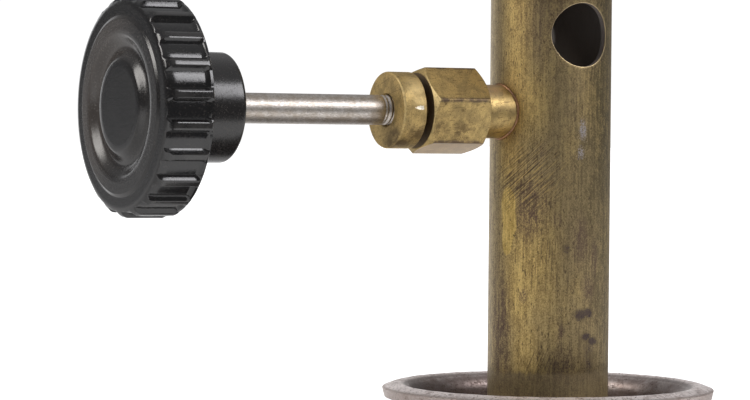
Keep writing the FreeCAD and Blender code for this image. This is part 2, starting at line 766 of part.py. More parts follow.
def make_knob():
    """Moulded knob: hub, rim with flutes that stop short of its back, raised face with a ring channel."""
    body = new_body("knob")
    bore = size.insert_radius + size.bond_gap
    face_edge = size.knob_radius - size.knob_front_round - size.face_rim
    face_front = knob_front + size.face_rise
    channel_outer = face_edge - size.face_slope - size.face_band
    channel_half = (channel_outer - size.channel_inner) / 2
    channel_square = channel_half * channel_half + size.channel_depth * size.channel_depth
    channel = channel_square / (size.channel_depth * 2)
    hub_shoulder = hub_end + size.knob_hub_round
    rim_back = knob_back + size.knob_back_round
    spin(
        body,
        [
            at(bore, hub_end),
            at(size.knob_hub_radius - size.knob_hub_round, hub_end, size.knob_hub_round, 1),
            at(size.knob_hub_radius, hub_shoulder),
            at(size.knob_hub_radius, knob_back),
            at(size.knob_radius - size.knob_back_round, knob_back, size.knob_back_round, 1),
            at(size.knob_radius, rim_back),
            at(size.knob_radius, knob_front - size.knob_front_round, size.knob_front_round, 1),
            at(size.knob_radius - size.knob_front_round, knob_front),
            at(face_edge, knob_front),
            at(face_edge - size.face_slope, face_front),
            at(channel_outer, face_front, channel, -1),
            at(size.channel_inner, face_front),
            at(0, face_front),
            at(0, insert_stop + size.bond_gap),
            at(bore, insert_stop + size.bond_gap),
        ],
    )
    drill(body, "XZ_Plane", 0, screw_place, size.screw_radius + size.bond_gap)
    sketch = new_sketch(body, "XY_Plane", knob_back + size.flute_stop)
    sketch.setExpression("AttachmentOffset.Rotation.Angle", size.flute_turn.text)
    draw_outline(sketch, flute_outline())
    doc.recompute()
    flute = cut(body, sketch, onward=True)
    flutes = body.newObject("PartDesign::PolarPattern", "knob_flutes")
    flutes.Originals = [flute]
    flutes.Axis = (origin_part(body, "Z_Axis"), [""])
    flutes.Angle = 360
    flutes.setExpression("Occurrences", size.knob_flutes.text)
    body.Tip = flutes
    lie_along(body, -1, valve_height)
    return body


def make_knob_insert():
    """Brass bush moulded into the hub, closed at its outer end and tapped for the grub screw."""
    body = new_body("knob_insert")
    bore = size.spindle_radius + size.bond_gap
    bore_end = insert_stop - size.insert_end
    spin(
        body,
        [
            at(bore, hub_end),
            at(size.insert_radius, hub_end),
            at(size.insert_radius, insert_stop),
            at(0, insert_stop),
            at(0, bore_end),
            at(bore, bore_end),
        ],
    )
    drill(body, "XZ_Plane", 0, screw_place, size.screw_radius + size.bond_gap)
    lie_along(body, -1, valve_height)
    return body


def make_knob_grub_screw():
    """Headless screw across the hub, with a hexagon socket, pressed on the spindle."""
    body = new_body("knob_grub_screw")
    tip = size.spindle_radius + size.bond_gap
    end = size.knob_hub_radius - size.screw_sunk
    spin(body, [at(0, tip), at(size.screw_radius, tip), at(size.screw_radius, end), at(0, end)])
    sketch = new_sketch(body, "XY_Plane", end)
    draw_outline(sketch, hexagon(size.screw_flats))
    doc.recompute()
    cut(body, sketch, length=size.screw_socket)
    across = FreeCAD.Rotation(FreeCAD.Vector(1, 0, 0), -90)
    place = FreeCAD.Vector(-screw_place.value, 0, valve_height.value)
    body.Placement = FreeCAD.Placement(place, across)
    body.setExpression("Placement.Base.x", (-screw_place).text)
    body.setExpression("Placement.Base.z", valve_height.text)
    return body


sleeve_inner = size.tube_radius + size.running_gap
spring_middle = sleeve_under + size.sleeve_height / 2
spring_outer = sleeve_inner + size.spring_section


def make_air_sleeve():
    """Sliding sleeve with a grip band at its top and a groove inside for the friction spring."""
    body = new_body("air_sleeve")
    top = sleeve_under + size.sleeve_height
    wall = sleeve_inner + size.sleeve_wall
    grip = wall + size.sleeve_grip
    grip_under = top - size.sleeve_grip_height
    edge = size.sleeve_round
    groove = spring_outer + size.bond_gap
    groove_half = size.spring_height / 2 + size.bond_gap
    spin(
        body,
        [
            at(sleeve_inner, sleeve_under),
            at(wall - edge, sleeve_under),
            at(wall, sleeve_under + edge),
            at(wall, grip_under),
            at(grip - edge, grip_under),
            at(grip, grip_under + edge),
            at(grip, top - edge),
            at(grip - edge, top),
            at(sleeve_inner, top),
            at(sleeve_inner, spring_middle + groove_half),
            at(groove, spring_middle + groove_half),
            at(groove, spring_middle - groove_half),
            at(sleeve_inner, spring_middle - groove_half),
        ],
    )
    return body


def make_sleeve_spring():
    """Split ring in the sleeve's groove, bearing on the tube."""
    body = new_body("sleeve_spring")
    low = spring_middle - size.spring_height / 2
    high = spring_middle + size.spring_height / 2
    section = [at(sleeve_inner, low), at(spring_outer, low), at(spring_outer, high), at(sleeve_inner, high)]
    spin(body, section, degrees=as_size(360) - size.spring_gap)
    return body


parts = [
    make_base_foot(),
    make_gas_inlet(),
    make_inlet_washer(),
    make_tube_socket(),
    ring("socket_washer", stud_hole, size.socket_flange_radius, dish_floor, flange_under),
    make_dish(),
    ring("dish_gasket", stud_hole, size.hub_radius - size.hub_round, hub_height, dish_under),
    ring("base_seal", stud_hole, size.base_washer_radius, washer_top, recess_roof),
    ring("base_washer", stud_hole, size.base_washer_radius, nut_top, washer_top),
    make_base_nut(),
    make_burner_tube(),
    make_valve_block(),
    make_gas_jet(),
    make_valve_body(),
    make_gland_nut(),
    make_packing("packing_washer", packing_floor, packing_start),
    make_packing("gland_packing", packing_start, packing_end),
    make_valve_spindle(),
    make_valve_needle(),
    make_knob(),
    make_knob_insert(),
    make_knob_grub_screw(),
    make_air_sleeve(),
    make_sleeve_spring(),
]
doc.recompute()

for item in doc.Objects:
    if "Invalid" in item.State or "Error" in item.State:
        raise RuntimeError(f"{item.Label} failed to rebuild")
for part in parts:
    if part.Shape.isNull() or not part.Shape.isValid() or len(part.Shape.Solids) != 1:
        raise RuntimeError(f"{part.Label} is not one valid solid")

os.makedirs("parts", exist_ok=True)
for part in parts:
    part.Shape.exportStep(os.path.join("parts", f"{part.Label}.step"))
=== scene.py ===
import json
from functools import reduce
from math import asin, atan2, ceil, cos, pi, radians, sin, sqrt, tan, tau
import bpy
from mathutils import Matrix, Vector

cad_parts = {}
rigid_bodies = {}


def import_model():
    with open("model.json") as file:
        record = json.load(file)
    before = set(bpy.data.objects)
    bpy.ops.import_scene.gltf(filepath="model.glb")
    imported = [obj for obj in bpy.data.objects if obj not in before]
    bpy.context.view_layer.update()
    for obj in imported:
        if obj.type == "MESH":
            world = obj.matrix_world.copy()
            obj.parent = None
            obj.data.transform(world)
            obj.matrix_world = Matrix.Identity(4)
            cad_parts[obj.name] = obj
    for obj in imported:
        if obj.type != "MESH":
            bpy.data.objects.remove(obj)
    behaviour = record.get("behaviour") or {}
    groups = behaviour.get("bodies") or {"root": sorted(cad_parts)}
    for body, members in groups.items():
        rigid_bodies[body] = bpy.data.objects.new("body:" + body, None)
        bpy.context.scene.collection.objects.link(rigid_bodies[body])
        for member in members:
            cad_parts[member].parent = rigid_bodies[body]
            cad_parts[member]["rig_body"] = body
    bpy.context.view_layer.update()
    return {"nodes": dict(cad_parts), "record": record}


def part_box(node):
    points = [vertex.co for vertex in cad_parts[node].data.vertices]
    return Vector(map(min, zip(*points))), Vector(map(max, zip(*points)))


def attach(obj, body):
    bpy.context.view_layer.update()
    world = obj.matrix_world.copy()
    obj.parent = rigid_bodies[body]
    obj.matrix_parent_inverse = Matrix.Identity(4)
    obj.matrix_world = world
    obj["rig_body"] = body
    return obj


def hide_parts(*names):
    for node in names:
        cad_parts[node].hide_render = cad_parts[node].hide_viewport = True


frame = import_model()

from types import SimpleNamespace

import bmesh
import bpy
from mathutils import Matrix, Vector, noise

# Lengths in this script are millimetres, and Blender's are metres.
MM = 0.001


def span(node):
    """Lowest and highest corner of a CAD node."""
    low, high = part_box(node)
    return low / MM, high / MM


def hexagon_corner(flats):
    """Distance of a hexagon's corners from its axis."""
    return flats / 2 / cos(pi / 6)


def towards(turn, rise=0.0):
    """Direction at a turn from -Y towards +X, and at a rise above the level."""
    return Vector((sin(turn) * cos(rise), -cos(turn) * cos(rise), sin(rise)))


# Places and sizes that the frame gives
tube_low, tube_high = span("burner_tube")
dish_low, dish_high = span("dish")
foot_high = span("base_foot")[1]
inlet_low, inlet_high = span("gas_inlet")
inlet_washer_low, inlet_washer_high = span("inlet_washer")
socket_low, socket_high = span("tube_socket")
washer_high = span("socket_washer")[1]
spindle_low, spindle_high = span("valve_spindle")
body_low, body_high = span("valve_body")
gland_low, gland_high = span("gland_nut")
knob_low, knob_high = span("knob")
insert_low = span("knob_insert")[0]
sleeve_low, sleeve_high = span("air_sleeve")
spring_low, spring_high = span("sleeve_spring")

tube_radius = tube_high.x
valve_height = (spindle_low.z + spindle_high.z) / 2
inlet_height = (inlet_low.z + inlet_high.z) / 2
spindle_radius = (spindle_high.y - spindle_low.y) / 2

# Sizes that no box gives, the same as in the CAD source or read from the photograph
tube_bore = 8.75
mouth_round = 0.3
dish_sheet = 0.8
dish_crest = 25.0
dish_crest_rise = 1.3
dish_skirt = 1.15
dish_corner = 5.0
air_hole_radius = 5.2
air_hole_height = valve_height + 12.6
stub_radius = 4.4
stub_hole_radius = 4.42
chamfer_relief = 0.1
hex_start = 15.15
hex_flats = 12.65
hex_chamfer = 0.75
hex_front = -body_low.x
hex_corner = hexagon_corner(hex_flats)
hex_face = hex_flats / 2 - chamfer_relief
hex_vertex = radians(14 - 90)
collar_back = 27.1
collar_face = -gland_low.x
collar_radius = 6.2
collar_nick = Vector((0.4, -collar_radius, 28.25))
gland_spigot = 3.88
spindle_bore = 2.48
thread_pitch = 0.8
hub_radius = 8.7
hub_end = -knob_high.x
rim_back = 70.5
face_front = -knob_low.x
rim_front = face_front - 0.3
rim_radius = 17.3
rim_front_round = 1.7
face_foot = 14.1
face_edge = 13.6
channel_outer = 11.3
channel_inner = 7.0
rib_count = 22
rib_round = 0.35
flute_floor = 16.5
flute_half = 1.75
flute_draft = 0.4
flute_start = rim_back + 0.5
flute_ramp = 0.35
flute_swell = 0.09
flute_low = 0.35
flute_front_drop = 0.25
fluted_from = flute_floor - 1.5
flute_turn = radians(6.1)
stud_radius = 5.0
stud_bore = 2.6
stud_hole = 5.02
inlet_thread = 4.6

# Camera that was fitted to the photograph
image_width = 750
image_height = 400
focal_pixels = 3400.94
camera_turn = radians(-32.222)
camera_distance = 563.789
camera_height = 77.511
camera_yaw = radians(2.936)
camera_pitch = radians(0.974)
camera_roll = radians(0.53)

UP = Vector((0, 0, 1))
camera_side = towards(camera_turn)
camera_place = camera_side * camera_distance + UP * camera_height

# Directions to the right, up and forward in the photograph
picture_forward = -towards(camera_turn + camera_yaw, camera_pitch)
level_right = picture_forward.cross(UP).normalized()
level_up = level_right.cross(picture_forward)
picture_right = level_right * cos(camera_roll) + level_up * sin(camera_roll)
picture_up = level_up * cos(camera_roll) - level_right * sin(camera_roll)


def on_tube(x, y):
    """The point of the tube's wall at a pixel of the photograph."""
    sideways = picture_right * ((x - image_width / 2) / focal_pixels)
    ray = picture_forward + sideways + picture_up * ((image_height / 2 - y) / focal_pixels)
    flat = Vector((ray.x, ray.y))
    start = Vector((camera_place.x, camera_place.y))
    half = start.dot(flat) / flat.length_squared
    rest = (start.length_squared - tube_radius**2) / flat.length_squared
    return camera_place + ray * (-half - sqrt(max(half * half - rest, 0.0)))


# Outlines and meshes

ARC_STEPS = 6


def arc(radius, along, bend, start, end, steps=ARC_STEPS * 2):
    """Corners along an arc of radius bend about a centre, from one angle in degrees to another."""
    angles = [radians(start + (end - start) * step / steps) for step in range(steps + 1)]
    return [(radius + bend * cos(angle), along + bend * sin(angle)) for angle in angles]


def rounded(*places):
    """Points of an outline, with an arc at each corner that has a rounding.

    A place is a radius, a distance along the axis and, where there is one, the corner's rounding.
    """
    corners = [Vector(place[:2]) for place in places]
    points = []
    for index, here in enumerate(corners):
        rounding = sum(places[index][2:])
        if not rounding:
            points.append(here)
            continue
        before = (corners[index - 1] - here).normalized()
        after = (corners[(index + 1) % len(corners)] - here).normalized()
        half = before.angle(after) / 2
        centre = here + (before + after).normalized() * (rounding / sin(half))
        reach = rounding / tan(half)
        first = here + before * reach - centre
        last = here + after * reach - centre
        for step in range(ARC_STEPS + 1):
            points.append(centre + first.slerp(last, step / ARC_STEPS) * rounding)
    return points


def divided(points, longest, inner=0.0, coarse=0.0):
    """An open run of points with no step longer than a given length, or a coarser one up to a radius."""
    result = [points[0]]
    for start, end in zip(points, points[1:]):
        step = coarse if max(start.x, end.x) <= inner else longest
        parts = max(1, ceil((end - start).length / step))
        result += [start.lerp(end, part / parts) for part in range(1, parts + 1)]
    return result


def divided_round(points, longest):
    """A closed run of points with no step longer than a given length."""
    return divided(points + points[:1], longest)[:-1]


def skin(mesh, first, second):
    """Faces between two rings of vertices, either of which may be a single point on the axis."""
    count = max(len(first), len(second))
    for index in range(count):
        after = (index + 1) % count
        if len(first) == 1:
            mesh.faces.new((first[0], second[after], second[index]))
        elif len(second) == 1:
            mesh.faces.new((first[index], first[after], second[0]))
        else:
            mesh.faces.new((first[index], first[after], second[after], second[index]))


ON_AXIS = 1e-6


def lathe(points, columns=128, closed=True, shape=None, start=0.0):
    """A mesh turned round the local Z axis. A shape changes the radius by angle and place along it."""
    mesh = bmesh.new()
    rings = []
    for radius, along in points:
        if radius < ON_AXIS:
            rings.append([mesh.verts.new((0, 0, along * MM))])
            continue
        ring = []
        for column in range(columns):
            turn = start + tau * column / columns
            reach = shape(turn, radius, along) if shape else radius
            place = (reach * cos(turn) * MM, reach * sin(turn) * MM, along * MM)
            ring.append(mesh.verts.new(place))
        rings.append(ring)
    for first, second in zip(rings, rings[1:]):
        skin(mesh, first, second)
    if closed:
        skin(mesh, rings[-1], rings[0])
    return mesh


def dent(mesh, centre, reach, depth):
    """Press a small hollow into a mesh round a point, towards its axis."""
    for vertex in mesh.verts:
        away = (vertex.co / MM - centre).length / reach
        if away < 1:
            inward = -Vector((vertex.co.x, vertex.co.y, 0)).normalized()
            vertex.co += inward * (depth * MM * (1 - away * away) ** 2)


def wear(mesh, depth, grain):
    """Uneven wear: press the surface in by up to a depth, in patches of about the grain."""
    bmesh.ops.recalc_face_normals(mesh, faces=mesh.faces)
    mesh.normal_update()
    for vertex in mesh.verts:
        patch = noise.noise(vertex.co / (MM * grain))
        vertex.co -= vertex.normal * (depth * MM * (0.5 + 0.5 * patch))


def lying(direction, height):
    """Place of a piece turned about a level axis: its own Z runs along X, and its own X points up."""
    along = Vector((direction, 0, 0))
    place = Matrix((UP, along.cross(UP), along)).transposed().to_4x4()
    place.translation = (0, 0, height * MM)
    return place


UPRIGHT = Matrix.Identity(4)
VALVE = lying(-1, valve_height)
INLET = lying(1, inlet_height)
SHARP_ANGLE = radians(32)

scene = bpy.context.scene
node_slots = {part["node"]: part["material_slot"] for part in frame["record"]["subparts"]}
finishes = {}


def put(name, data):
    """An object of the scene with the given data."""
    made = bpy.data.objects.new(name, data)
    scene.collection.objects.link(made)
    return made


def meshed(name, mesh):
    """Mesh data, made from a mesh that is used up."""
    data = bpy.data.meshes.new(name)
    mesh.to_mesh(data)
    mesh.free()
    return data


def add_piece(name, mesh, node, place=UPRIGHT, stands_for=True, finish=None):
    """Adds a piece that goes with a CAD node, and stands for it unless told otherwise."""
    bmesh.ops.recalc_face_normals(mesh, faces=mesh.faces)
    data = meshed(name, mesh)
    data.shade_smooth()
    data.set_sharp_from_angle(angle=SHARP_ANGLE)
    data.materials.append(finish or finishes[node_slots[node]])
    piece = put(name, data)
    piece.matrix_world = place
    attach(piece, frame["nodes"][node]["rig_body"])
    if stands_for:
        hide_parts(node)


# Materials


class Field:
    """A value that varies over a surface: the output of a node, with its arithmetic."""

    def __init__(self, nodes, socket):
        self.nodes = nodes
        self.socket = socket

    def __add__(self, other):
        return self.nodes.math("ADD", self, other)

    def __mul__(self, other):
        return self.nodes.math("MULTIPLY", self, other)

    def most(self, other):
        return self.nodes.math("MAXIMUM", self, other)

    def band(self, low, high, bottom=0.0, top=1.0):
        """A smooth step from bottom to top while the value goes from low to high."""
        inputs = {"Value": self, "From Min": low, "From Max": high, "To Min": bottom, "To Max": top}
        return self.nodes.add("ShaderNodeMapRange", inputs, interpolation_type="SMOOTHSTEP")

    def mix(self, first, second):
        """The first colour at nothing, the second at one."""
        return self.nodes.add("ShaderNodeMix", {0: self, 6: first, 7: second}, 2, data_type="RGBA")


class Nodes:
    """Adds nodes to a tree. An input is a constant, or a field that is linked."""

    def __init__(self, tree):
        self.tree = tree

    def add(self, kind, inputs, output=0, **settings):
        node = self.tree.nodes.new(kind)
        for name, value in settings.items():
            setattr(node, name, value)
        for name, value in inputs.items():
            self.feed(node.inputs[name], value)
        return Field(self, node.outputs[output])

    def feed(self, socket, value):
        if isinstance(value, Field):
            self.tree.links.new(value.socket, socket)
        elif socket.type == "RGBA":
            socket.default_value = (*value, 1.0)
        else:
            socket.default_value = value

    def math(self, operation, first, second):
        return self.add("ShaderNodeMath", {0: first, 1: second}, operation=operation)

    def vector(self, operation, *inputs, output="Vector"):
        return self.add("ShaderNodeVectorMath", dict(enumerate(inputs)), output, operation=operation)

    def dot(self, vector, direction):
        return self.vector("DOT_PRODUCT", vector, direction, output="Value")

    def seen(self):
        """One to the camera, and nothing to light."""
        return self.add("ShaderNodeLightPath", {}, "Is Camera Ray")


class Recipe(Nodes):
    """The nodes of one material. Places are in millimetres, on the piece's own axes."""

    def __init__(self, name):
        self.name = name
        self.material = bpy.data.materials.new(name)
        self.material.use_nodes = True
        super().__init__(self.material.node_tree)
        self.shader = self.tree.nodes["Principled BSDF"]
        position = self.add("ShaderNodeTexCoord", {}, "Object")
        self.place = self.add("ShaderNodeVectorMath", {0: position, "Scale": 1 / MM}, operation="SCALE")

    def stretched(self, scale):
        """Scaled places. A small number draws a pattern out along its axis."""
        return self.vector("MULTIPLY", self.place, scale)

    def from_axis(self):
        """Distance from the piece's own Z axis."""
        return self.vector("LENGTH", self.stretched((1, 1, 0)), output="Value")

    def reach(self, direction):
        """How far a place lies along a direction."""
        return self.dot(self.place, direction)

    def noise(self, scale, stretch=(1, 1, 1), detail=4.0, rough=0.55, vector=None):
        vector = vector or self.stretched(stretch)
        inputs = {"Vector": vector, "Scale": scale, "Detail": detail, "Roughness": rough}
        return self.add("ShaderNodeTexNoise", inputs, "Fac")

    def lines(self, across, along, scale, length):
        """Scratches that run along one direction and repeat across another."""
        inputs = {"X": self.reach(across) * scale, "Y": self.reach(along) * (scale / length)}
        vector = self.add("ShaderNodeCombineXYZ", inputs)
        return self.noise(1.0, detail=2.0, rough=0.5, vector=vector)

    def spot(self, centre, reach, stretch=(1, 1, 1)):
        """One at a place, fading to nothing at a distance."""
        centre = [c * s for c, s in zip(centre, stretch)]
        away = self.vector("DISTANCE", self.stretched(stretch), centre, output="Value")
        return away.band(reach * 0.15, reach, 1.0, 0.0)

    def bump(self, height, distance):
        return self.add("ShaderNodeBump", {"Height": height, "Distance": distance * MM})

    def finish(self, **inputs):
        """Feeds the shader and keeps the material. Underscores stand for spaces."""
        for name, value in inputs.items():
            self.feed(self.shader.inputs[name.replace("_", " ")], value)
        finishes[self.name] = self.material


# Marks on the tube: pixel of the photograph, reach in millimetres, stretch along the tube, and strength
# Rubbed places, which also paint the golden highlight streak that runs down one side of the tube
RUBBED_AND_HIGHLIGHT = (
    (517, 15, 4.5, 0.25, 0.8), (517, 62, 4.5, 0.35, 0.8), (526, 104, 6.0, 0.6, 0.85),
    (508, 160, 4.0, 0.5, 0.8), (510, 215, 3.4, 0.4, 1.0), (528, 258, 7.5, 0.45, 1.0),
    (541, 275, 5.0, 0.35, 0.7), (520, 288, 5.0, 0.35, 1.0), (525, 352, 4.5, 0.4, 0.85),
)
BROWNED = (
    (531, 205, 5.0, 0.55, 1.05), (500, 335, 3.8, 0.22, 1.0), (545, 20, 6.0, 0.6, 0.5),
    (562, 372, 3.2, 0.5, 0.8), (556, 220, 1.6, 0.8, 0.9), (581, 240, 2.4, 0.4, 0.9),
    (588, 288, 1.9, 0.6, 0.9), (594, 258, 1.5, 0.3, 0.8), (560, 334, 1.4, 0.6, 0.8),
    (543, 152, 1.5, 0.6, 0.7), (523, 296, 1.2, 0.7, 1.0),
)
PEELED = ((508, 205, 2.6, 0.5, 1.0), (509, 222, 2.7, 0.45, 1.0), (507, 240, 2.2, 0.5, 0.9))
# Painted shade down the tube's right-hand edge
RIGHT_EDGE_SHADE = ((604, 85, 6.0, 0.14, 1.1), (590, 172, 5.0, 0.25, 0.7), (604, 230, 5.0, 0.14, 0.7))
STAINS = (
    (580, 315, 2.4, 1.3, 1.0), (588, 313, 2.0, 1.3, 1.0), (586, 337, 1.9, 1.5, 1.0),
    (592, 341, 2.0, 1.5, 1.0), (589, 360, 2.3, 0.3, 0.62), (566, 249, 1.4, 0.8, 0.8),
)
SPECKS = ((583, 130, 1.7, 0.45, 0.75), (581, 153, 1.5, 0.6, 0.7))

# Scratches on the tube: pixel of the photograph, reach, slant in degrees and lines to a millimetre
SLANTING = (528, 178, 9.0, 43, 6.2)
STEEP = (538, 364, 4.5, 68, 3.4)
CRACKS = (548, 258, 8.0, 87, 4.6)
SCRATCH_LENGTH = 26.0

# Grime and painted shade, painted highlights, and a pale film with painted sheen on the valve, in its own
# frame:
# up, away from the camera, out along the stem, reach and strength
VALVE_GRIME_AND_SHADE = (
    (-5.0, -3.0, collar_face, 4.5, 0.75), (-3.6, -5.6, 20.0, 3.2, 0.6), (-3.0, -5.8, 24.5, 2.4, 0.6),
    (0.2, -6.4, 20.6, 0.7, 0.9), (-3.8, -5.0, 28.5, 2.6, 0.7), (1.2, -6.8, hex_front - 1.3, 1.0, 0.9),
)
# Painted highlights on the top of the collar
VALVE_GLEAMS = ((4.0, -4.7, 28.4, 3.4, 0.6), (1.5, -6.0, 28.4, 2.0, 0.4))
# A pale film with painted sheen on the top of the stub
VALVE_FILM_AND_SHEEN = ((4.2, -1.4, 12.8, 3.6, 0.75), (3.6, -2.6, 14.0, 2.2, 0.5))

BRASS_STAIN_AND_SHADE = (0.13, 0.085, 0.045)
BEYOND_ALL = 100.0


def tube_marks(recipe, marks):
    """The strength of the nearest of a list of marks on the tube."""
    spots = []
    for x, y, reach, stretch, strength in marks:
        spots.append(recipe.spot(on_tube(x, y), reach, (1, 1, stretch)) * strength)
    return reduce(Field.most, spots)


def near_marks(recipe, marks):
    """The same for marks that are given in the piece's own frame."""
    return reduce(Field.most, [recipe.spot(mark[:3], mark[3]) * mark[4] for mark in marks])


def scratches(recipe, x, y, reach, slant, scale):
    """Slanting scratches round a pixel: dark furrows and bright ones."""
    angle = radians(slant)
    along = picture_right * cos(angle) + picture_up * sin(angle)
    across = picture_up * cos(angle) - picture_right * sin(angle)
    lines = recipe.lines(across, along, scale, SCRATCH_LENGTH)
    area = recipe.spot(on_tube(x, y), reach)
    return lines.band(0.53, 0.62) * area, lines.band(0.45, 0.37) * area


def tube_patterns(recipe):
    """What breaks up the tube's colours, and the grain made of it."""
    drawn = recipe.noise(2.6, (1, 1, 0.04), 3.0)
    mottle = recipe.noise(1.3, (1, 1, 0.5), 6.0, 0.65)
    speckle = recipe.noise(4.6, (1, 1, 0.8), 5.0, 0.8)
    return SimpleNamespace(
        cloud=recipe.noise(0.1, (1, 1, 0.4), 5.0),
        mottle=mottle,
        speckle=speckle,
        pits=recipe.noise(3.0, (1, 1, 0.45), 3.0).band(0.6, 0.68),
        grain=drawn * 0.22 + mottle * 0.26 + speckle * 0.52,
    )


def tube_metal(recipe, pattern):
    """Golden where it was rubbed and along a painted highlight, else olive-brown, with painted shade at one
    edge, and browned and peeled places.
    """
    grain = pattern.grain
    light = grain.band(0.42, 0.58)
    olive = light.mix((0.21, 0.158, 0.09), (0.43, 0.33, 0.168))
    golden = light.mix((0.35, 0.24, 0.095), (0.71, 0.52, 0.205))
    # rubbed brass, and a painted highlight streak along the same marks
    rubbed = tube_marks(recipe, RUBBED_AND_HIGHLIGHT) * grain.band(0.32, 0.48)
    worn = (pattern.cloud + grain * 0.5).band(0.72, 0.95, 0.0, 0.5)
    tone = rubbed.most(worn).mix(olive, golden)
    # painted shade along the right-hand edge of the tube
    right_edge_shade = tube_marks(recipe, RIGHT_EDGE_SHADE) * grain.band(0.66, 0.4)
    tone = right_edge_shade.mix(tone, (0.13, 0.104, 0.058))
    browned = tube_marks(recipe, BROWNED) * grain.band(0.6, 0.42)
    tone = browned.mix(tone, (0.15, 0.1, 0.08))
    bare = (tube_marks(recipe, PEELED) + pattern.mottle * 0.5).band(0.7, 0.78, 0.0, 0.7)
    fresh = grain.band(0.4, 0.6).mix((0.46, 0.31, 0.09), (0.84, 0.62, 0.22))
    return bare.mix(tone, fresh)


def tube_stains(recipe, pattern, tone):
    """Dark pits and stains, and pale specks."""
    tone = (pattern.pits * 0.7).mix(tone, (0.075, 0.055, 0.042))
    ragged = pattern.mottle * 1.2 + pattern.speckle * 3.2
    stained = (tube_marks(recipe, STAINS) + ragged).band(2.78, 3.02, 0.0, 0.8)
    tone = stained.mix(tone, (0.07, 0.052, 0.066))
    flecked = (tube_marks(recipe, SPECKS) + pattern.speckle * 3.0).band(2.1, 2.35, 0.0, 0.75)
    return flecked.mix(tone, (0.5, 0.48, 0.53))


def tube_brass():
    """Old drawn brass, stained and scratched, with a film at the dish and heat colour at the mouth, painted
    highlights and painted shade.
    """
    film_full = dish_high.z + 3.8
    film_end = dish_high.z + 5.1
    heat_start = tube_high.z - 18
    heat_full = tube_high.z + 8
    recipe = Recipe("tube_brass")
    pattern = tube_patterns(recipe)
    grain = pattern.grain
    tone = tube_stains(recipe, pattern, tube_metal(recipe, pattern))
    furrows, glints = scratches(recipe, *SLANTING)
    steep, steep_glints = scratches(recipe, *STEEP)
    cracks, _ = scratches(recipe, *CRACKS)
    dark = furrows.most(steep * 0.7).most(cracks * 0.7)
    bright = glints.most(steep_glints * 0.3)
    tone = (dark * 0.85).mix(tone, (0.085, 0.06, 0.05))
    tone = (bright * 0.7).mix(tone, (0.74, 0.53, 0.2))
    # a darker film where the dish holds liquid, and heat colour at the mouth
    height = recipe.reach(UP)
    patchy = pattern.mottle * 2.2 + pattern.cloud * 3.0
    film = (height + patchy).band(film_full, film_end, 0.75, 0.0)
    residue = grain.band(0.42, 0.58).mix((0.2, 0.145, 0.075), (0.37, 0.275, 0.14))
    tone = film.mix(tone, residue)
    heat = (height + pattern.cloud * 16.0).band(heat_start, heat_full, 0.0, 0.8)
    tone = heat.mix(tone, (0.17, 0.095, 0.07))
    # a painted highlight on worn bright metal round the lips of the holes and the rounded ends, and painted
    # shade on the inner wall and the holes' cut faces
    radius = recipe.from_axis()
    edges = radius.band(tube_radius - 0.02, tube_radius - 0.05)
    tone = edges.mix(tone, (0.92, 0.74, 0.45))
    inside_shade = radius.band(tube_radius - 0.15, tube_radius - 0.25)
    tone = inside_shade.mix(tone, (0.15, 0.125, 0.112))
    uneven = grain * 1.2 + dark * -0.8 + pattern.pits * -0.4
    recipe.finish(
        Base_Color=tone,
        Metallic=inside_shade.most(film).band(0.0, 1.0, 1.0, 0.0),
        Roughness=grain.band(0.35, 0.65, 0.54, 0.42).most(inside_shade * 0.7),
        Normal=recipe.bump(uneven, 0.026),
    )


def turned_brass(name, bright, dull, rough, stain_low, end_rough=None, worn_from=BEYOND_ALL, marked=None):
    """Brass off the lathe: fine rings, dull film, dark stains and worn corners. An end may be rougher."""
    stub_end = hex_start - 0.15
    collar_start = hex_front + 0.2
    recipe = Recipe(name)
    rings = recipe.noise(5.0, (0.02, 0.02, 1), 3.0)
    radius = recipe.from_axis()
    cloud = recipe.noise(0.5, detail=7.0, rough=0.68)
    specks = recipe.noise(4.6, rough=0.65).band(0.58, 0.62)
    tone = cloud.band(0.38, 0.62).mix(dull, bright)
    tone = rings.band(0.4, 0.7, 0.0, 0.3).mix(tone, dull)
    patches = recipe.noise(0.8, detail=8.0, rough=0.75).band(stain_low, stain_low + 0.1)
    level = recipe.lines((1, 0.2, 0.12), (0, 0, 1), 4.2, 14.0).band(0.64, 0.7)
    slanting = recipe.lines((0.6, 0.2, 0.8), (0.8, 0.2, -0.6), 4.0, 9.0).band(0.68, 0.73)
    furrows = level.most(slanting)
    tone = (patches * 0.5).mix(tone, BRASS_STAIN_AND_SHADE)
    tone = (specks.most(furrows) * 0.72).mix(tone, BRASS_STAIN_AND_SHADE)
    tone = (radius.band(worn_from - 0.5, worn_from - 0.2) * 0.45).mix(tone, BRASS_STAIN_AND_SHADE)
    worn = radius.band(worn_from, worn_from + 0.15, 0.0, 0.5)
    tone = worn.mix(tone, (0.84, 0.67, 0.38))
    if marked:
        tone = marked(recipe, tone, cloud)
    plain = recipe.reach(UP).band(stub_end, collar_start, rough, end_rough or rough)
    recipe.finish(
        Base_Color=tone,
        Metallic=1.0,
        Roughness=cloud.band(0.3, 0.7, 0.07, 0.0) + plain,
        Normal=recipe.bump(rings * 0.6 + (specks + furrows) * -0.4, 0.014),
    )


def valve_corners(recipe, radius, along):
    """Painted highlight on the collar's rounded front corner and the hexagon's chamfer, strongest on their
    upper side.
    """
    corner_sum = collar_radius + collar_face
    rim = (radius + along).band(corner_sum - 0.31, corner_sum - 0.2)
    slope = (hex_corner - hex_face) / hex_chamfer
    cone_sum = hex_face + hex_front * slope
    cone = (radius + along * slope).band(cone_sum - 0.12, cone_sum - 0.03)
    bevel = cone * along.band(hex_front + 0.02, hex_front + 0.1, 1.0, 0.0)
    up = recipe.reach((1, 0, 0))
    # the painted highlight is strongest on the upper side, where the light falls
    lit = up.band(-4.5, 1.0, 0.12, 1.0) * up.band(6.0, 4.0, 0.1, 1.0)
    broken = recipe.noise(2.2).band(0.36, 0.56, 0.35, 1.0)
    return (rim * 0.6).most(bevel * 0.85) * lit * broken


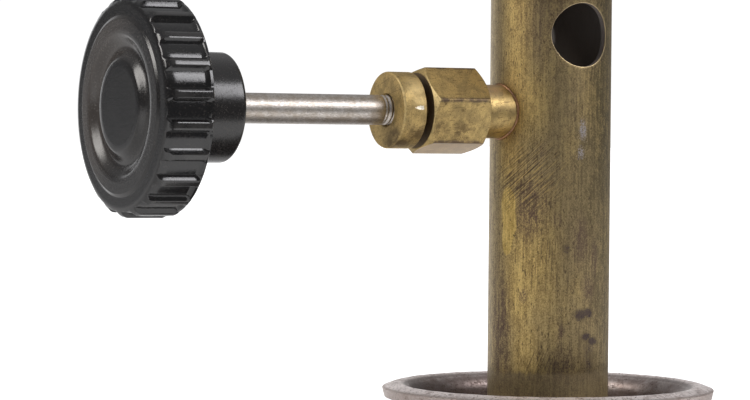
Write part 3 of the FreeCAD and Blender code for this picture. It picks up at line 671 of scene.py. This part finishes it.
def valve_marks(recipe, tone, cloud):
    """What only the valve shows: grime with painted shade, painted shade at the hexagon's corners and in the
    gap behind the collar, painted highlights, a painted floor reflection, a pale film with painted sheen, and
    a nick with a painted glint.
    """
    radius = recipe.from_axis()
    along = recipe.reach(UP)
    flat = hex_flats / 2
    # grime, which also stands in for shade on the lower side of the parts
    grime_and_shade = near_marks(recipe, VALVE_GRIME_AND_SHADE) * cloud.band(0.66, 0.4)
    tone = grime_and_shade.mix(tone, BRASS_STAIN_AND_SHADE)
    # painted shade along the hexagon's corners
    edges = radius.band(flat + 0.68, flat + 0.85) * cloud.band(0.62, 0.42, 0.3, 0.8)
    tone = edges.mix(tone, (0.12, 0.085, 0.07))
    # painted highlights on the collar's top and on the lit corners
    gleams = near_marks(recipe, VALVE_GLEAMS) * cloud.band(0.35, 0.55, 0.5, 1.0)
    gleams = valve_corners(recipe, radius, along).most(gleams)
    tone = gleams.mix(tone, (0.86, 0.68, 0.35))
    # a painted reflection of the pale floor on the flat that faces down, and a pale film with painted sheen
    # on the top of the stub
    down = hex_vertex - pi / 2
    floor_reflection = recipe.reach((cos(down), sin(down), 0)).band(flat - 0.06, flat - 0.02, 0.0, 0.6)
    tone = floor_reflection.most(near_marks(recipe, VALVE_FILM_AND_SHEEN)).mix(tone, (0.82, 0.67, 0.52))
    # painted shade in the gap between the hexagon and the collar
    gap_shade = along.band(hex_front - 0.05, hex_front - 0.01)
    gap_shade = gap_shade * along.band(collar_back + 0.02, collar_back + 0.06, 1.0, 0.0)
    gap_shade = gap_shade * radius.band(collar_radius - 0.05, collar_radius - 0.15, 0.0, 0.8)
    tone = gap_shade.mix(tone, (0.15, 0.108, 0.075))
    # the nick, painted almost white: fresh metal with a painted glint
    nick_glint = recipe.spot(collar_nick, 1.8, (2.4, 1, 1)) + recipe.noise(1.9, detail=3.0) * 1.6
    return nick_glint.band(1.44, 1.56).mix(tone, (0.97, 0.9, 0.76))


def stem_steel():
    """Ground steel: fine rings, lengthwise rubbing, brown bloom and small dark specks."""
    recipe = Recipe("stem_steel")
    rings = recipe.noise(7.0, (0.02, 0.02, 1), 2.0)
    rubbed = recipe.noise(5.5, (1, 1, 0.32), 5.0, 0.75)
    bloom = recipe.noise(0.7, detail=5.0).band(0.42, 0.66)
    specks = recipe.noise(6.0, (1, 1, 0.6), 3.0).band(0.6, 0.68)
    tone = rubbed.band(0.35, 0.65).mix((0.38, 0.34, 0.30), (0.66, 0.62, 0.585))
    tone = (bloom * 0.45).mix(tone, (0.36, 0.29, 0.22))
    tone = (specks * 0.6).mix(tone, (0.14, 0.11, 0.09))
    recipe.finish(
        Base_Color=tone,
        Metallic=1.0,
        Roughness=rubbed.band(0.35, 0.65, 0.46, 0.36),
        Normal=recipe.bump(rings * 0.4 + rubbed * 0.8, 0.012),
    )


def dish_steel():
    """Worn plating: pale and nicked on the lip, with a painted highlight on its crest, painted shade inside
    the crest and on the skirt, and brown heat stains inside.
    """
    recipe = Recipe("dish_steel")
    radius = recipe.from_axis()
    height = recipe.reach(UP)
    scuff = recipe.noise(2.6, detail=6.0, rough=0.7)
    cloud = recipe.noise(0.16, detail=5.0)
    nicks = recipe.noise(1.9, (1, 1, 2.0), 5.0, 0.7).band(0.56, 0.62)
    inside = radius.band(dish_crest - 1.2, dish_crest - 2.3)
    tone = scuff.band(0.35, 0.65).mix((0.52, 0.45, 0.425), (0.79, 0.71, 0.685))
    # painted highlight on the crest of the lip, where it is also rubbed
    crest_highlight = height.band(dish_high.z - 1.4, dish_high.z - 1.0)
    crest_highlight = crest_highlight * radius.band(dish_crest - 1.1, dish_crest - 0.4)
    tone = (crest_highlight * 0.95).mix(tone, (0.98, 0.885, 0.855))
    browned = recipe.noise(0.5, detail=6.0, rough=0.7).band(0.48, 0.6, 0.0, 0.6)
    tone = browned.mix(tone, (0.40, 0.31, 0.28))
    stain = inside * cloud.band(0.25, 0.55, 0.35, 0.85)
    tone = stain.mix(tone, (0.19, 0.145, 0.13))
    tone = (nicks * 0.8).mix(tone, (0.15, 0.105, 0.09))
    # rust on the outer edge, with painted shade on the turned-down skirt
    edge_rust_and_shade = radius.band(dish_high.x - 0.7, dish_high.x - 0.3) * scuff.band(0.38, 0.58, 0.1, 0.7)
    tone = edge_rust_and_shade.mix(tone, (0.3, 0.22, 0.18))
    # painted shade line where the lip turns into the wall
    lip_shade_line = radius.band(dish_crest - 1.9, dish_crest - 1.6) * radius.band(dish_crest - 1.0, dish_crest - 1.3)
    tone = (lip_shade_line * 0.6).mix(tone, (0.17, 0.13, 0.12))
    recipe.finish(
        Base_Color=tone,
        Metallic=inside.band(0.0, 1.0, 0.5, 1.0),
        Roughness=scuff.band(0.3, 0.7, 0.5, 0.38),
        Normal=recipe.bump(scuff * 0.4 + nicks * -0.6, 0.03),
    )


def knob_black():
    """Glossy black moulding: dusty in patches, with a painted brown sheen on one side of the ring channel,
    rubbed grey on the crests of the ribs.
    """
    recipe = Recipe("knob_black")
    radius = recipe.from_axis()
    cloud = recipe.noise(0.22)
    dust = recipe.noise(2.8, detail=5.0, rough=0.75).band(0.54, 0.64)
    pores = recipe.noise(7.0, detail=3.0, rough=0.7)
    rubbed = radius.band(rim_radius - 0.2, rim_radius - 0.02, 0.0, 0.5) * cloud.band(0.3, 0.6)
    tone = cloud.mix((0.003, 0.003, 0.004), (0.007, 0.006, 0.006))
    sunk = radius.band(channel_inner - 0.4, channel_inner + 1.0)
    sunk = sunk * radius.band(face_edge + 1.0, face_edge - 0.6)
    # painted brown sheen on the ring channel, stronger towards +Y; dust elsewhere
    left_sheen = recipe.reach((0.4, 1, 0)).band(-4.0, 9.0, 0.03, 0.2)
    tone = (sunk * left_sheen + dust * 0.12).mix(tone, (0.2, 0.165, 0.14))
    tone = rubbed.mix(tone, (0.05, 0.047, 0.045))
    gloss = cloud * 0.25 + pores * 0.5 + dust * 0.2
    recipe.finish(
        Base_Color=tone,
        IOR=1.56,
        Roughness=sunk * 0.1 + gloss.band(0.25, 0.6, 0.08, 0.2),
        Normal=recipe.bump(recipe.noise(2.4) + pores, 0.007),
    )


def foot_enamel():
    """Dark enamel over a casting: slight orange peel, dull where rubbed, with small chips."""
    recipe = Recipe("foot_enamel")
    peel = recipe.noise(0.85, detail=2.0)
    cloud = recipe.noise(0.07, detail=5.0)
    chips = recipe.noise(0.55, detail=6.0, rough=0.7).band(0.69, 0.72)
    tone = cloud.mix((0.028, 0.030, 0.032), (0.055, 0.056, 0.058))
    tone = chips.mix(tone, (0.12, 0.10, 0.09))
    gloss = cloud.band(0.3, 0.7, 0.28, 0.44)
    recipe.finish(Base_Color=tone, Roughness=gloss, Normal=recipe.bump(peel, 0.06))


def flecked(name, scale, stretch, dark, pale, rough):
    """A matt material with flecks in it."""
    recipe = Recipe(name)
    flecks = recipe.noise(scale, stretch)
    tone = flecks.mix(dark, pale)
    recipe.finish(Base_Color=tone, Roughness=rough, Normal=recipe.bump(flecks, 0.03))


# One finish for each slot of the record, and one for the bead of braze
tube_brass()
turned_brass(
    "valve_brass",
    bright=(0.58, 0.42, 0.175),
    dull=(0.37, 0.272, 0.122),
    rough=0.44,
    stain_low=0.57,
    end_rough=0.57,
    marked=valve_marks,
)
turned_brass(
    "sleeve_brass",
    bright=(0.54, 0.39, 0.15),
    dull=(0.36, 0.27, 0.12),
    rough=0.32,
    stain_low=0.58,
    worn_from=sleeve_high.x - 0.22,
)
turned_brass("brass_bright", bright=(0.66, 0.49, 0.21), dull=(0.52, 0.39, 0.18), rough=0.28, stain_low=0.64)
turned_brass("braze", bright=(0.44, 0.24, 0.13), dull=(0.24, 0.14, 0.08), rough=0.4, stain_low=0.5)
dish_steel()
stem_steel()
knob_black()
foot_enamel()
# red vulcanised fibre, and graphited packing
flecked("fibre", 4.0, (1, 1, 0.3), dark=(0.20, 0.06, 0.04), pale=(0.34, 0.12, 0.075), rough=0.85)
flecked("packing", 5.0, (1, 1, 1), dark=(0.05, 0.05, 0.055), pale=(0.11, 0.11, 0.115), rough=0.7)


# The tube, a grid of columns and rows with a ring of faces round each hole

TUBE_COLUMNS = 144
SECTOR = TUBE_COLUMNS // 4
HALF = SECTOR // 2
PATCH_RINGS = 14
AIR_ROWS = 26
row_step = (air_hole_height - valve_height) / AIR_ROWS
hole_lip = 0.16
half_lip = hole_lip * 0.29
same_place = 0.001


def tube_point(turn, height, radius):
    """A point on a wall round the tube's axis. The turn is from -Y towards +X."""
    return Vector((radius * sin(turn), -radius * cos(turn), height)) * MM


def column_turn(column):
    return tau * (column - HALF) / TUBE_COLUMNS


def drilled(sector, row, radius):
    """A hole in the middle of a quarter of the wall, at one of its rows."""
    height = valve_height + row * row_step
    return SimpleNamespace(first=sector * SECTOR, turn=pi / 2 * sector, height=height, radius=radius)


tube_holes = [drilled(sector, AIR_ROWS, air_hole_radius) for sector in (0, 2)]
tube_holes.append(drilled(3, 0, stub_hole_radius))


def square_round(hole):
    """Turn and height of each grid point on the edge of a hole's square."""
    steps = range(SECTOR)
    places = [(step, 0) for step in steps] + [(SECTOR, step) for step in steps]
    places += [(SECTOR - step, SECTOR) for step in steps] + [(0, SECTOR - step) for step in steps]
    return [
        (column_turn(hole.first + column), hole.height + (row - HALF) * row_step) for column, row in places
    ]


def hole_rings(hole):
    """Rings of points from the outer wall's square, through the hole, to the inner one."""
    square = square_round(hole)
    angles = [atan2(height - hole.height, tube_radius * (turn - hole.turn)) for turn, height in square]

    def ring(beyond, radius, share=1.0):
        """Points at a share of the way from the square to just beyond the hole."""
        points = []
        for (turn, height), angle in zip(square, angles):
            reach = hole.radius + beyond
            side = hole.turn + asin(reach * cos(angle) / radius)
            level = hole.height + reach * sin(angle)
            points.append(tube_point(turn + (side - turn) * share, height + (level - height) * share, radius))
        return points

    shares = [step / PATCH_RINGS for step in range(PATCH_RINGS + 1)]
    return (
        [ring(hole_lip, tube_radius, share) for share in shares]
        + [ring(half_lip, tube_radius - half_lip), ring(0.0, tube_radius - hole_lip)]
        + [ring(0.0, tube_bore + hole_lip), ring(half_lip, tube_bore + half_lip)]
        + [ring(hole_lip, tube_bore, share) for share in reversed(shares)]
    )


def in_square(column, height):
    """Whether a cell of the grid belongs to a hole's square."""
    half = HALF * row_step
    return any(0 <= column - hole.first < SECTOR and abs(height - hole.height) < half for hole in tube_holes)


def tube_outline():
    """The tube's section: rounded ends, and the rows of the grid on both walls."""
    rows = [valve_height + row * row_step for row in range(-HALF, AIR_ROWS + HALF + 1)]
    ends = rounded(
        (tube_radius, tube_low.z, 0.1),
        (tube_radius, tube_high.z, mouth_round),
        (tube_bore, tube_high.z, mouth_round),
        (tube_bore, tube_low.z, 0.1),
    )
    quarter = ARC_STEPS + 1
    outline = ends[:quarter] + rounded(*[(tube_radius, row) for row in rows])
    outline += ends[quarter : 3 * quarter] + rounded(*[(tube_bore, row) for row in reversed(rows)])
    return outline + ends[3 * quarter :]


def make_tube():
    outline = tube_outline()
    turns = [column_turn(column) for column in range(TUBE_COLUMNS)]
    mesh = bmesh.new()
    rings = []
    for radius, height in outline:
        rings.append([mesh.verts.new(tube_point(turn, height, radius)) for turn in turns])
    for index, first in enumerate(rings):
        second = rings[(index + 1) % len(rings)]
        middle = (outline[index].y + outline[(index + 1) % len(rings)].y) / 2
        for column in range(TUBE_COLUMNS):
            after = (column + 1) % TUBE_COLUMNS
            if not in_square(column, middle):
                mesh.faces.new((first[column], first[after], second[after], second[column]))
    for hole in tube_holes:
        loops = [[mesh.verts.new(point) for point in ring] for ring in hole_rings(hole)]
        for first, second in zip(loops, loops[1:]):
            skin(mesh, first, second)
    bmesh.ops.remove_doubles(mesh, verts=mesh.verts, dist=same_place * MM)
    loose = [vertex for vertex in mesh.verts if not vertex.link_faces]
    bmesh.ops.delete(mesh, geom=loose, context="VERTS")
    add_piece("tube_wall", mesh, "burner_tube")


def make_braze():
    """Bead of braze in the corner where the stub enters the tube."""
    bead = 0.26
    unevenness = 0.3
    lumps = 3.0
    columns = 96
    around = 10
    mesh = bmesh.new()
    rings = []
    for column in range(columns):
        angle = tau * column / columns
        outward = Vector((0, sin(angle), cos(angle)))
        side = stub_radius * sin(angle)
        centre = outward * stub_radius + Vector((-sqrt(tube_radius**2 - side**2), 0, valve_height))
        size = bead * (1 + unevenness * noise.noise(outward * lumps))
        ring = []
        for step in range(around):
            bend = tau * step / around
            offset = outward * cos(bend) + Vector((-sin(bend), 0, 0))
            ring.append(mesh.verts.new((centre + offset * size) * MM))
        rings.append(ring)
    for index, ring in enumerate(rings):
        skin(mesh, ring, rings[(index + 1) % columns])
    add_piece("braze_bead", mesh, "valve_body", stands_for=False, finish=finishes["braze"])


def make_dish():
    """Spun dish: floor, rounded corner, upright wall, and a lip that rolls out and is turned down."""
    overhang = dish_high.x - dish_crest
    lip = (overhang * overhang + dish_crest_rise * dish_crest_rise) / (2 * dish_crest_rise)
    lip_height = dish_high.z - lip
    lip_steps = 24
    wall = dish_crest - lip
    past_crest = 72
    floor = dish_low.z + dish_sheet
    edge = dish_high.x
    edge_height = dish_high.z - 0.75
    skirt_foot = dish_high.z - dish_crest_rise - dish_skirt
    skirt_in = 0.4
    corners = [(stud_hole, dish_low.z), (stud_hole, floor)]
    corners += arc(wall - dish_corner, floor + dish_corner, dish_corner, -90, 0)
    corners += arc(dish_crest, lip_height, lip, 180, past_crest, lip_steps)
    corners += [(edge, edge_height, 0.2), (edge - skirt_in, skirt_foot, 0.2)]
    corners += [(edge - skirt_in - dish_sheet, skirt_foot, 0.2)]
    corners += [(edge - dish_sheet, edge_height - dish_sheet, 0.1)]
    corners += arc(dish_crest, lip_height, lip - dish_sheet, past_crest, 180, lip_steps)
    corners += arc(wall - dish_corner, floor + dish_corner, dish_corner + dish_sheet, 0, -90)
    mesh = lathe(divided_round(rounded(*corners), 0.5), 256)
    wear(mesh, depth=0.07, grain=2.3)
    lean(mesh, floor)
    add_piece("spun_dish", mesh, "dish")


def lean(mesh, floor):
    """Bends the dish's lip down a little on the side of the camera, as the photograph shows."""
    dip = 0.45
    for vertex in mesh.verts:
        share = max((vertex.co.z / MM - floor) / (dish_high.z - floor), 0.0)
        front = vertex.co.dot(camera_side) / MM / dish_crest
        vertex.co.z -= dip * MM * (1 + front) * share


EDGE_WEAR = 0.05


def hexagon(flats, vertex):
    """A shape that cuts the radius back to a hexagon's flats, with its edges a little worn."""
    apothem = flats / 2
    longest = hexagon_corner(flats) - EDGE_WEAR

    def shape(turn, radius, along):
        from_flat = (turn - vertex) % (pi / 3) - pi / 6
        return min(radius, apothem / cos(from_flat), longest)

    return shape


def make_valve_body():
    """Hexagon with chamfered ends, and the round stub that goes into the tube."""
    inner = -body_high.x
    bore = gland_spigot + 0.03
    depth = 19.0
    lead = 0.3
    fine = 0.08
    back_chamfer = rounded((hex_face, hex_start), (hex_corner, hex_start + hex_chamfer))
    front_chamfer = rounded((hex_corner, hex_front - hex_chamfer), (hex_face, hex_front))
    points = rounded((spindle_bore, inner), (stub_radius, inner), (stub_radius, hex_start))
    points += divided(back_chamfer, fine)
    points += divided(front_chamfer, fine)
    points += rounded((bore + lead, hex_front), (bore, hex_front - lead))
    points += rounded((bore, depth), (spindle_bore, depth))
    mesh = lathe(points, 360, shape=hexagon(hex_flats, hex_vertex), start=hex_vertex)
    add_piece("valve_hexagon", mesh, "valve_body", VALVE)


def make_gland():
    """Round collar on a threaded spigot, with a nick in the collar's side."""
    start = -gland_high.x
    lead = 0.3
    points = rounded(
        (spindle_bore, start),
        (gland_spigot, start),
        (gland_spigot, collar_back, 0.15),
        (collar_radius, collar_back, 0.2),
        (collar_radius, collar_face, 0.32),
        (spindle_bore + lead, collar_face, 0.05),
        (spindle_bore, collar_face - lead),
    )
    mesh = lathe(divided_round(points, 0.22), 240)
    # the nick faces the camera, at the middle of the collar's width
    dent(mesh, collar_nick, reach=0.5, depth=0.22)
    dent(mesh, collar_nick + Vector((0.15, 0, 0.6)), reach=0.45, depth=0.16)
    add_piece("gland_collar", mesh, "gland_nut", VALVE)


def make_spindle():
    """Ground stem, with the last turns of its thread at the gland's face."""
    inner = -spindle_high.x
    outer = -spindle_low.x
    thread_end = collar_face + 1.5
    thread_start = collar_face - 3.4
    depth = 0.26
    steepness = 2.6
    run_out = 0.5

    def thread(turn, radius, along):
        if not thread_start < along < thread_end:
            return radius
        phase = (along / thread_pitch + turn / tau) % 1.0
        groove = max(0.0, 1.0 - abs(phase - 0.5) * steepness)
        fade = min(1.0, (thread_end - along) / run_out, (along - thread_start) / run_out)
        return radius - depth * groove * fade

    threaded = rounded((spindle_radius, thread_start), (spindle_radius, thread_end))
    plain = rounded((spindle_radius, thread_end), (spindle_radius, outer))
    points = rounded((0, inner), (spindle_radius, inner)) + divided(threaded, 0.07)
    points += divided(plain, 4.0)[1:] + rounded((0, outer))
    mesh = lathe(points, 96, closed=False, shape=thread)
    add_piece("ground_stem", mesh, "valve_spindle", VALVE)


def flute_radius(away):
    """Radius at a distance from a flute's middle: swelling floor, leaning side, rounded rib."""
    narrow = flute_half - flute_draft
    wall = rim_radius - rib_round
    if away < narrow:
        return flute_floor + flute_swell * (1 - (away / narrow) ** 2)
    if away < flute_half:
        return flute_floor + (wall - flute_floor) * (away - narrow) / flute_draft
    left = max(flute_half + rib_round - away, 0.0)
    return wall + sqrt(rib_round * rib_round - left * left)


def rib_shape(turn, radius, along):
    """Flutes round the knob's rim, with a low wall at the back. Their floor drops at the front."""
    if radius < fluted_from:
        return radius
    pitch = tau / rib_count
    away = abs((turn - flute_turn + pitch / 2) % pitch - pitch / 2) * rim_radius
    past_wall = min(max((along - flute_start) / flute_ramp, 0.0), 1.0)
    opened = flute_low + (1 - flute_low) * past_wall
    rounding = max(1 - (rim_front - along) / rim_front_round, 0.0)
    section = flute_radius(away) - flute_front_drop * rounding * rounding
    return min(radius, rim_radius + (section - rim_radius) * opened)


def knob_face():
    """Outline of the knob's face: a slope up to a flat band, a ring channel, and a level disc."""
    depth = 1.1
    steps = 32
    softness = 1.5
    corners = [(face_foot, rim_front, 0.08), (face_edge, face_front, 0.2)]
    for step in range(steps + 1):
        share = step / steps
        sunk = depth * max(sin(pi * share), 0.0) ** softness
        corners.append((channel_outer + (channel_inner - channel_outer) * share, face_front - sunk))
    return corners + [(0, face_front)]


def make_knob():
    """Moulded knob: hub, ribbed rim with a rounded front, and the face."""
    hole = 4.83
    hole_end = -insert_low.x + 0.03
    fine = 0.26
    coarse = 1.1
    rib_columns = 28
    corners = [(0, hole_end), (hole, hole_end), (hole, hub_end)]
    corners += [(hub_radius, hub_end, 0.7), (hub_radius, rim_back, 0.25)]
    corners += [(fluted_from, rim_back), (rim_radius, rim_back, 0.5)]
    corners += arc(rim_radius - rim_front_round, rim_front - rim_front_round, rim_front_round, 0, 90)
    corners += knob_face()
    # both ends are on the axis, so the outline stays open there
    points = divided(rounded(*corners), fine, fluted_from, coarse)
    mesh = lathe(points, rib_count * rib_columns, closed=False, shape=rib_shape)
    add_piece("ribbed_knob", mesh, "knob", VALVE)


def make_sleeve():
    """Air sleeve: plain wall, and a grip band with upright ribs."""
    inner = 10.05
    wall = 11.85
    grip_under = sleeve_high.z - 5.0
    groove = 10.98
    groove_top = spring_high.z + 0.02
    groove_foot = spring_low.z - 0.02
    grip_ribs = 72
    rib_columns = 8
    rib_depth = 0.32

    def knurl(turn, radius, along):
        if radius < wall + 0.6:
            return radius
        return radius - rib_depth / 2 * (1 + cos(turn * grip_ribs))

    points = rounded(
        (inner, sleeve_low.z, 0.25),
        (wall, sleeve_low.z, 0.45),
        (wall, grip_under, 0.2),
        (sleeve_high.x, grip_under, 0.4),
        (sleeve_high.x, sleeve_high.z, 0.4),
        (inner, sleeve_high.z, 0.25),
        (inner, groove_top),
        (groove, groove_top),
        (groove, groove_foot),
        (inner, groove_foot),
    )
    mesh = lathe(points, grip_ribs * rib_columns, shape=knurl)
    add_piece("sliding_sleeve", mesh, "air_sleeve")


def make_socket():
    """Tail piece: flange in the dish, spigot in the tube and stud through the foot."""
    spigot = tube_bore - 0.02
    points = rounded(
        (stud_bore, socket_low.z),
        (stud_radius, socket_low.z, 0.5),
        (stud_radius, washer_high.z),
        (socket_high.x, washer_high.z, 0.2),
        (socket_high.x, tube_low.z, 0.5),
        (spigot, tube_low.z),
        (spigot, socket_high.z, 0.4),
        (stud_bore, socket_high.z, 0.3),
    )
    add_piece("tail_piece", lathe(points), "tube_socket")


def make_foot():
    """Cast foot with its hub, hollow underneath, with room for the nut."""
    rest = 7.0
    rim = foot_high.x
    rim_top = 6.2
    hub = 13.0
    crown = 9.8
    nut_room = 11.5
    nut_ceiling = 9.0
    hollow_start = 13.7
    hollow_top = 5.4
    hollow_edge = 2.4
    points = rounded(
        (stud_hole, nut_ceiling),
        (nut_room, nut_ceiling, 0.4),
        (nut_room, hollow_top, 0.5),
        (hollow_start, hollow_top, 1.0),
        (rim - rest - 0.6, hollow_edge, 1.5),
        (rim - rest, 0, 0.3),
        (rim, 0, 0.6),
        (rim, rim_top, 2.1),
        (hub, crown, 2.8),
        (hub, foot_high.z, 0.8),
        (stud_hole, foot_high.z),
    )
    mesh = lathe(divided_round(points, 1.0), 192)
    wear(mesh, depth=0.05, grain=6.0)
    add_piece("cast_foot", mesh, "base_foot")


def make_boss():
    """Boss on the foot's hub that takes the gas inlet, with a rounded edge."""
    bore = inlet_thread + 0.02
    bore_end = 10.4
    outside = 7.4
    hidden_edge = 5.2
    in_hub = 9.0
    face = inlet_washer_low.x
    corners = [(bore, bore_end), (bore, face, 0.1), (outside, face, 0.5)]
    corners += [(outside, in_hub), (hidden_edge, in_hub)]
    add_piece("foot_boss", lathe(rounded(*corners), 96), "base_foot", INLET)


def make_inlet():
    """Hose connector: thread, hexagon and four barbs."""
    flats = inlet_high.z - inlet_low.z
    flat_edge = flats / 2 - chamfer_relief
    vertex = hexagon_corner(flats)
    chamfer = 0.5
    hexagon_start = inlet_washer_high.x
    hexagon_end = hexagon_start + 4.6
    barb_start = hexagon_end + 1.6
    barbs = 4
    root = 3.5
    crest = 4.5
    nose = 3.2
    bore = 2.1
    pitch = (inlet_high.x - barb_start) / barbs
    corners = [(bore, inlet_low.x), (inlet_thread, inlet_low.x, 0.3), (inlet_thread, hexagon_start)]
    corners += [(flat_edge, hexagon_start), (vertex, hexagon_start + chamfer)]
    corners += [(vertex, hexagon_end - chamfer), (flat_edge, hexagon_end), (root, hexagon_end, 0.3)]
    for barb in range(barbs):
        place = barb_start + barb * pitch
        corners += [(root, place, 0.2 if barb else 0.0), (crest, place + 0.15, 0.12)]
    corners += [(nose, inlet_high.x, 0.4), (bore, inlet_high.x, 0.3)]
    mesh = lathe(divided(rounded(*corners), 0.5), 180, shape=hexagon(flats, 0.0))
    add_piece("hose_barb", mesh, "gas_inlet", INLET)


make_tube()
make_braze()
make_dish()
make_valve_body()
make_gland()
make_spindle()
make_knob()
make_sleeve()
make_socket()
make_foot()
make_boss()
make_inlet()

# Nodes that keep their CAD shape take the finish of their slot
for node, piece in frame["nodes"].items():
    if not piece.hide_render:
        piece.data.materials.clear()
        piece.data.materials.append(finishes[node_slots[node]])


# Floor, light and camera

# The white sheet of the studio stands behind the object, as its reflections show
sheet_turn = radians(167)
sheet_half = radians(27)
sheet_fade = radians(5)
sheet_towards = towards(sheet_turn)
sheet_outer = cos(sheet_half + sheet_fade)
sheet_inner = cos(sheet_half)

# The floor's sizes are in metres. It ends a little way in front of the object, as a table does.
floor_front = -0.165
floor_far = 80.0
floor_half = 40.0
floor_drop = 0.0002


def floor_paper():
    """White paper that glows, and more to the camera, to be as white as the photograph's ground."""
    recipe = Recipe("floor_paper")
    grain = recipe.noise(0.02, detail=3.0)
    radius = recipe.from_axis()
    glow = radius.band(150.0, 430.0, 0.45, 1.0)
    near = recipe.reach((0, 1, 0)).band(-60.0, 40.0, 0.75, 0.1)
    heading = recipe.vector("NORMALIZE", recipe.place)
    sheet = recipe.dot(heading, sheet_towards).band(sheet_outer, sheet_inner)
    lit = near + sheet * radius.band(110.0, 280.0, 0.0, 0.9)
    recipe.finish(
        Base_Color=grain.mix((0.80, 0.80, 0.80), (0.84, 0.84, 0.84)),
        Roughness=0.9,
        Emission_Strength=recipe.seen().band(0.0, 1.0, lit, glow),
    )


def make_floor():
    """A pale floor that reaches far behind the object."""
    mesh = bmesh.new()
    near = [(-floor_half, floor_front), (floor_half, floor_front)]
    far = [(floor_half, floor_far), (-floor_half, floor_far)]
    mesh.faces.new([mesh.verts.new((x, y, -floor_drop)) for x, y in near + far])
    floor = put("floor", meshed("floor", mesh))
    floor_paper()
    floor.data.materials.append(finishes["floor_paper"])


LAMP_DISTANCE = 0.9


def soft_light(name, turn, rise, width, height, radiance, tint):
    """A panel that faces the valve's height on the tube, at a turn and a rise in degrees."""
    away = towards(radians(turn), radians(rise))
    data = bpy.data.lights.new(name, "AREA")
    data.shape = "RECTANGLE"
    data.size = width
    data.size_y = height
    data.energy = radiance * pi * width * height
    data.color = tint
    lamp = put(name, data)
    lamp.location = UP * (valve_height * MM) + away * LAMP_DISTANCE
    lamp.rotation_mode = "QUATERNION"
    lamp.rotation_quaternion = away.to_track_quat("Z", "Y")


def make_world():
    """White to the camera. To everything else, a dim room with a low bright sheet behind the object."""
    world = bpy.data.worlds.new("studio")
    world.use_nodes = True
    scene.world = world
    nodes = Nodes(world.node_tree)
    nodes.tree.nodes.clear()
    direction = nodes.add("ShaderNodeTexCoord", {}, "Generated")
    rise = nodes.add("ShaderNodeSeparateXYZ", {0: direction}, "Z")
    sheet = nodes.dot(direction, sheet_towards).band(sheet_outer, sheet_inner, 0.0, 1.15)
    low_part = rise.band(0.12, 0.42, 1.0, 0.0)
    room = rise.band(0.3, 0.85, 0.2, 0.52)
    dim_inputs = {"Color": (0.98, 0.985, 1.0), "Strength": room + sheet * low_part}
    dim = nodes.add("ShaderNodeBackground", dim_inputs)
    white = nodes.add("ShaderNodeBackground", {"Color": (1, 1, 1), "Strength": 1.05})
    chosen = nodes.add("ShaderNodeMixShader", {0: nodes.seen(), 1: dim, 2: white})
    nodes.feed(nodes.tree.nodes.new("ShaderNodeOutputWorld").inputs["Surface"], chosen)


def make_camera():
    data = bpy.data.cameras.new("photo_camera")
    data.lens = data.sensor_width * focal_pixels / image_width
    data.clip_start = 0.01
    camera = put("photo_camera", data)
    place = Matrix((picture_right, picture_up, -picture_forward)).transposed().to_4x4()
    place.translation = camera_place * MM
    camera.matrix_world = place
    scene.camera = camera


make_floor()
soft_light("left_panel", turn=-102, rise=29, width=0.36, height=0.36, radiance=7.0, tint=(1.0, 0.97, 0.93))
soft_light("right_panel", turn=34, rise=32, width=0.34, height=0.38, radiance=7.6, tint=(0.98, 0.97, 1.0))
make_world()
make_camera()
scene.view_settings.view_transform = "Standard"
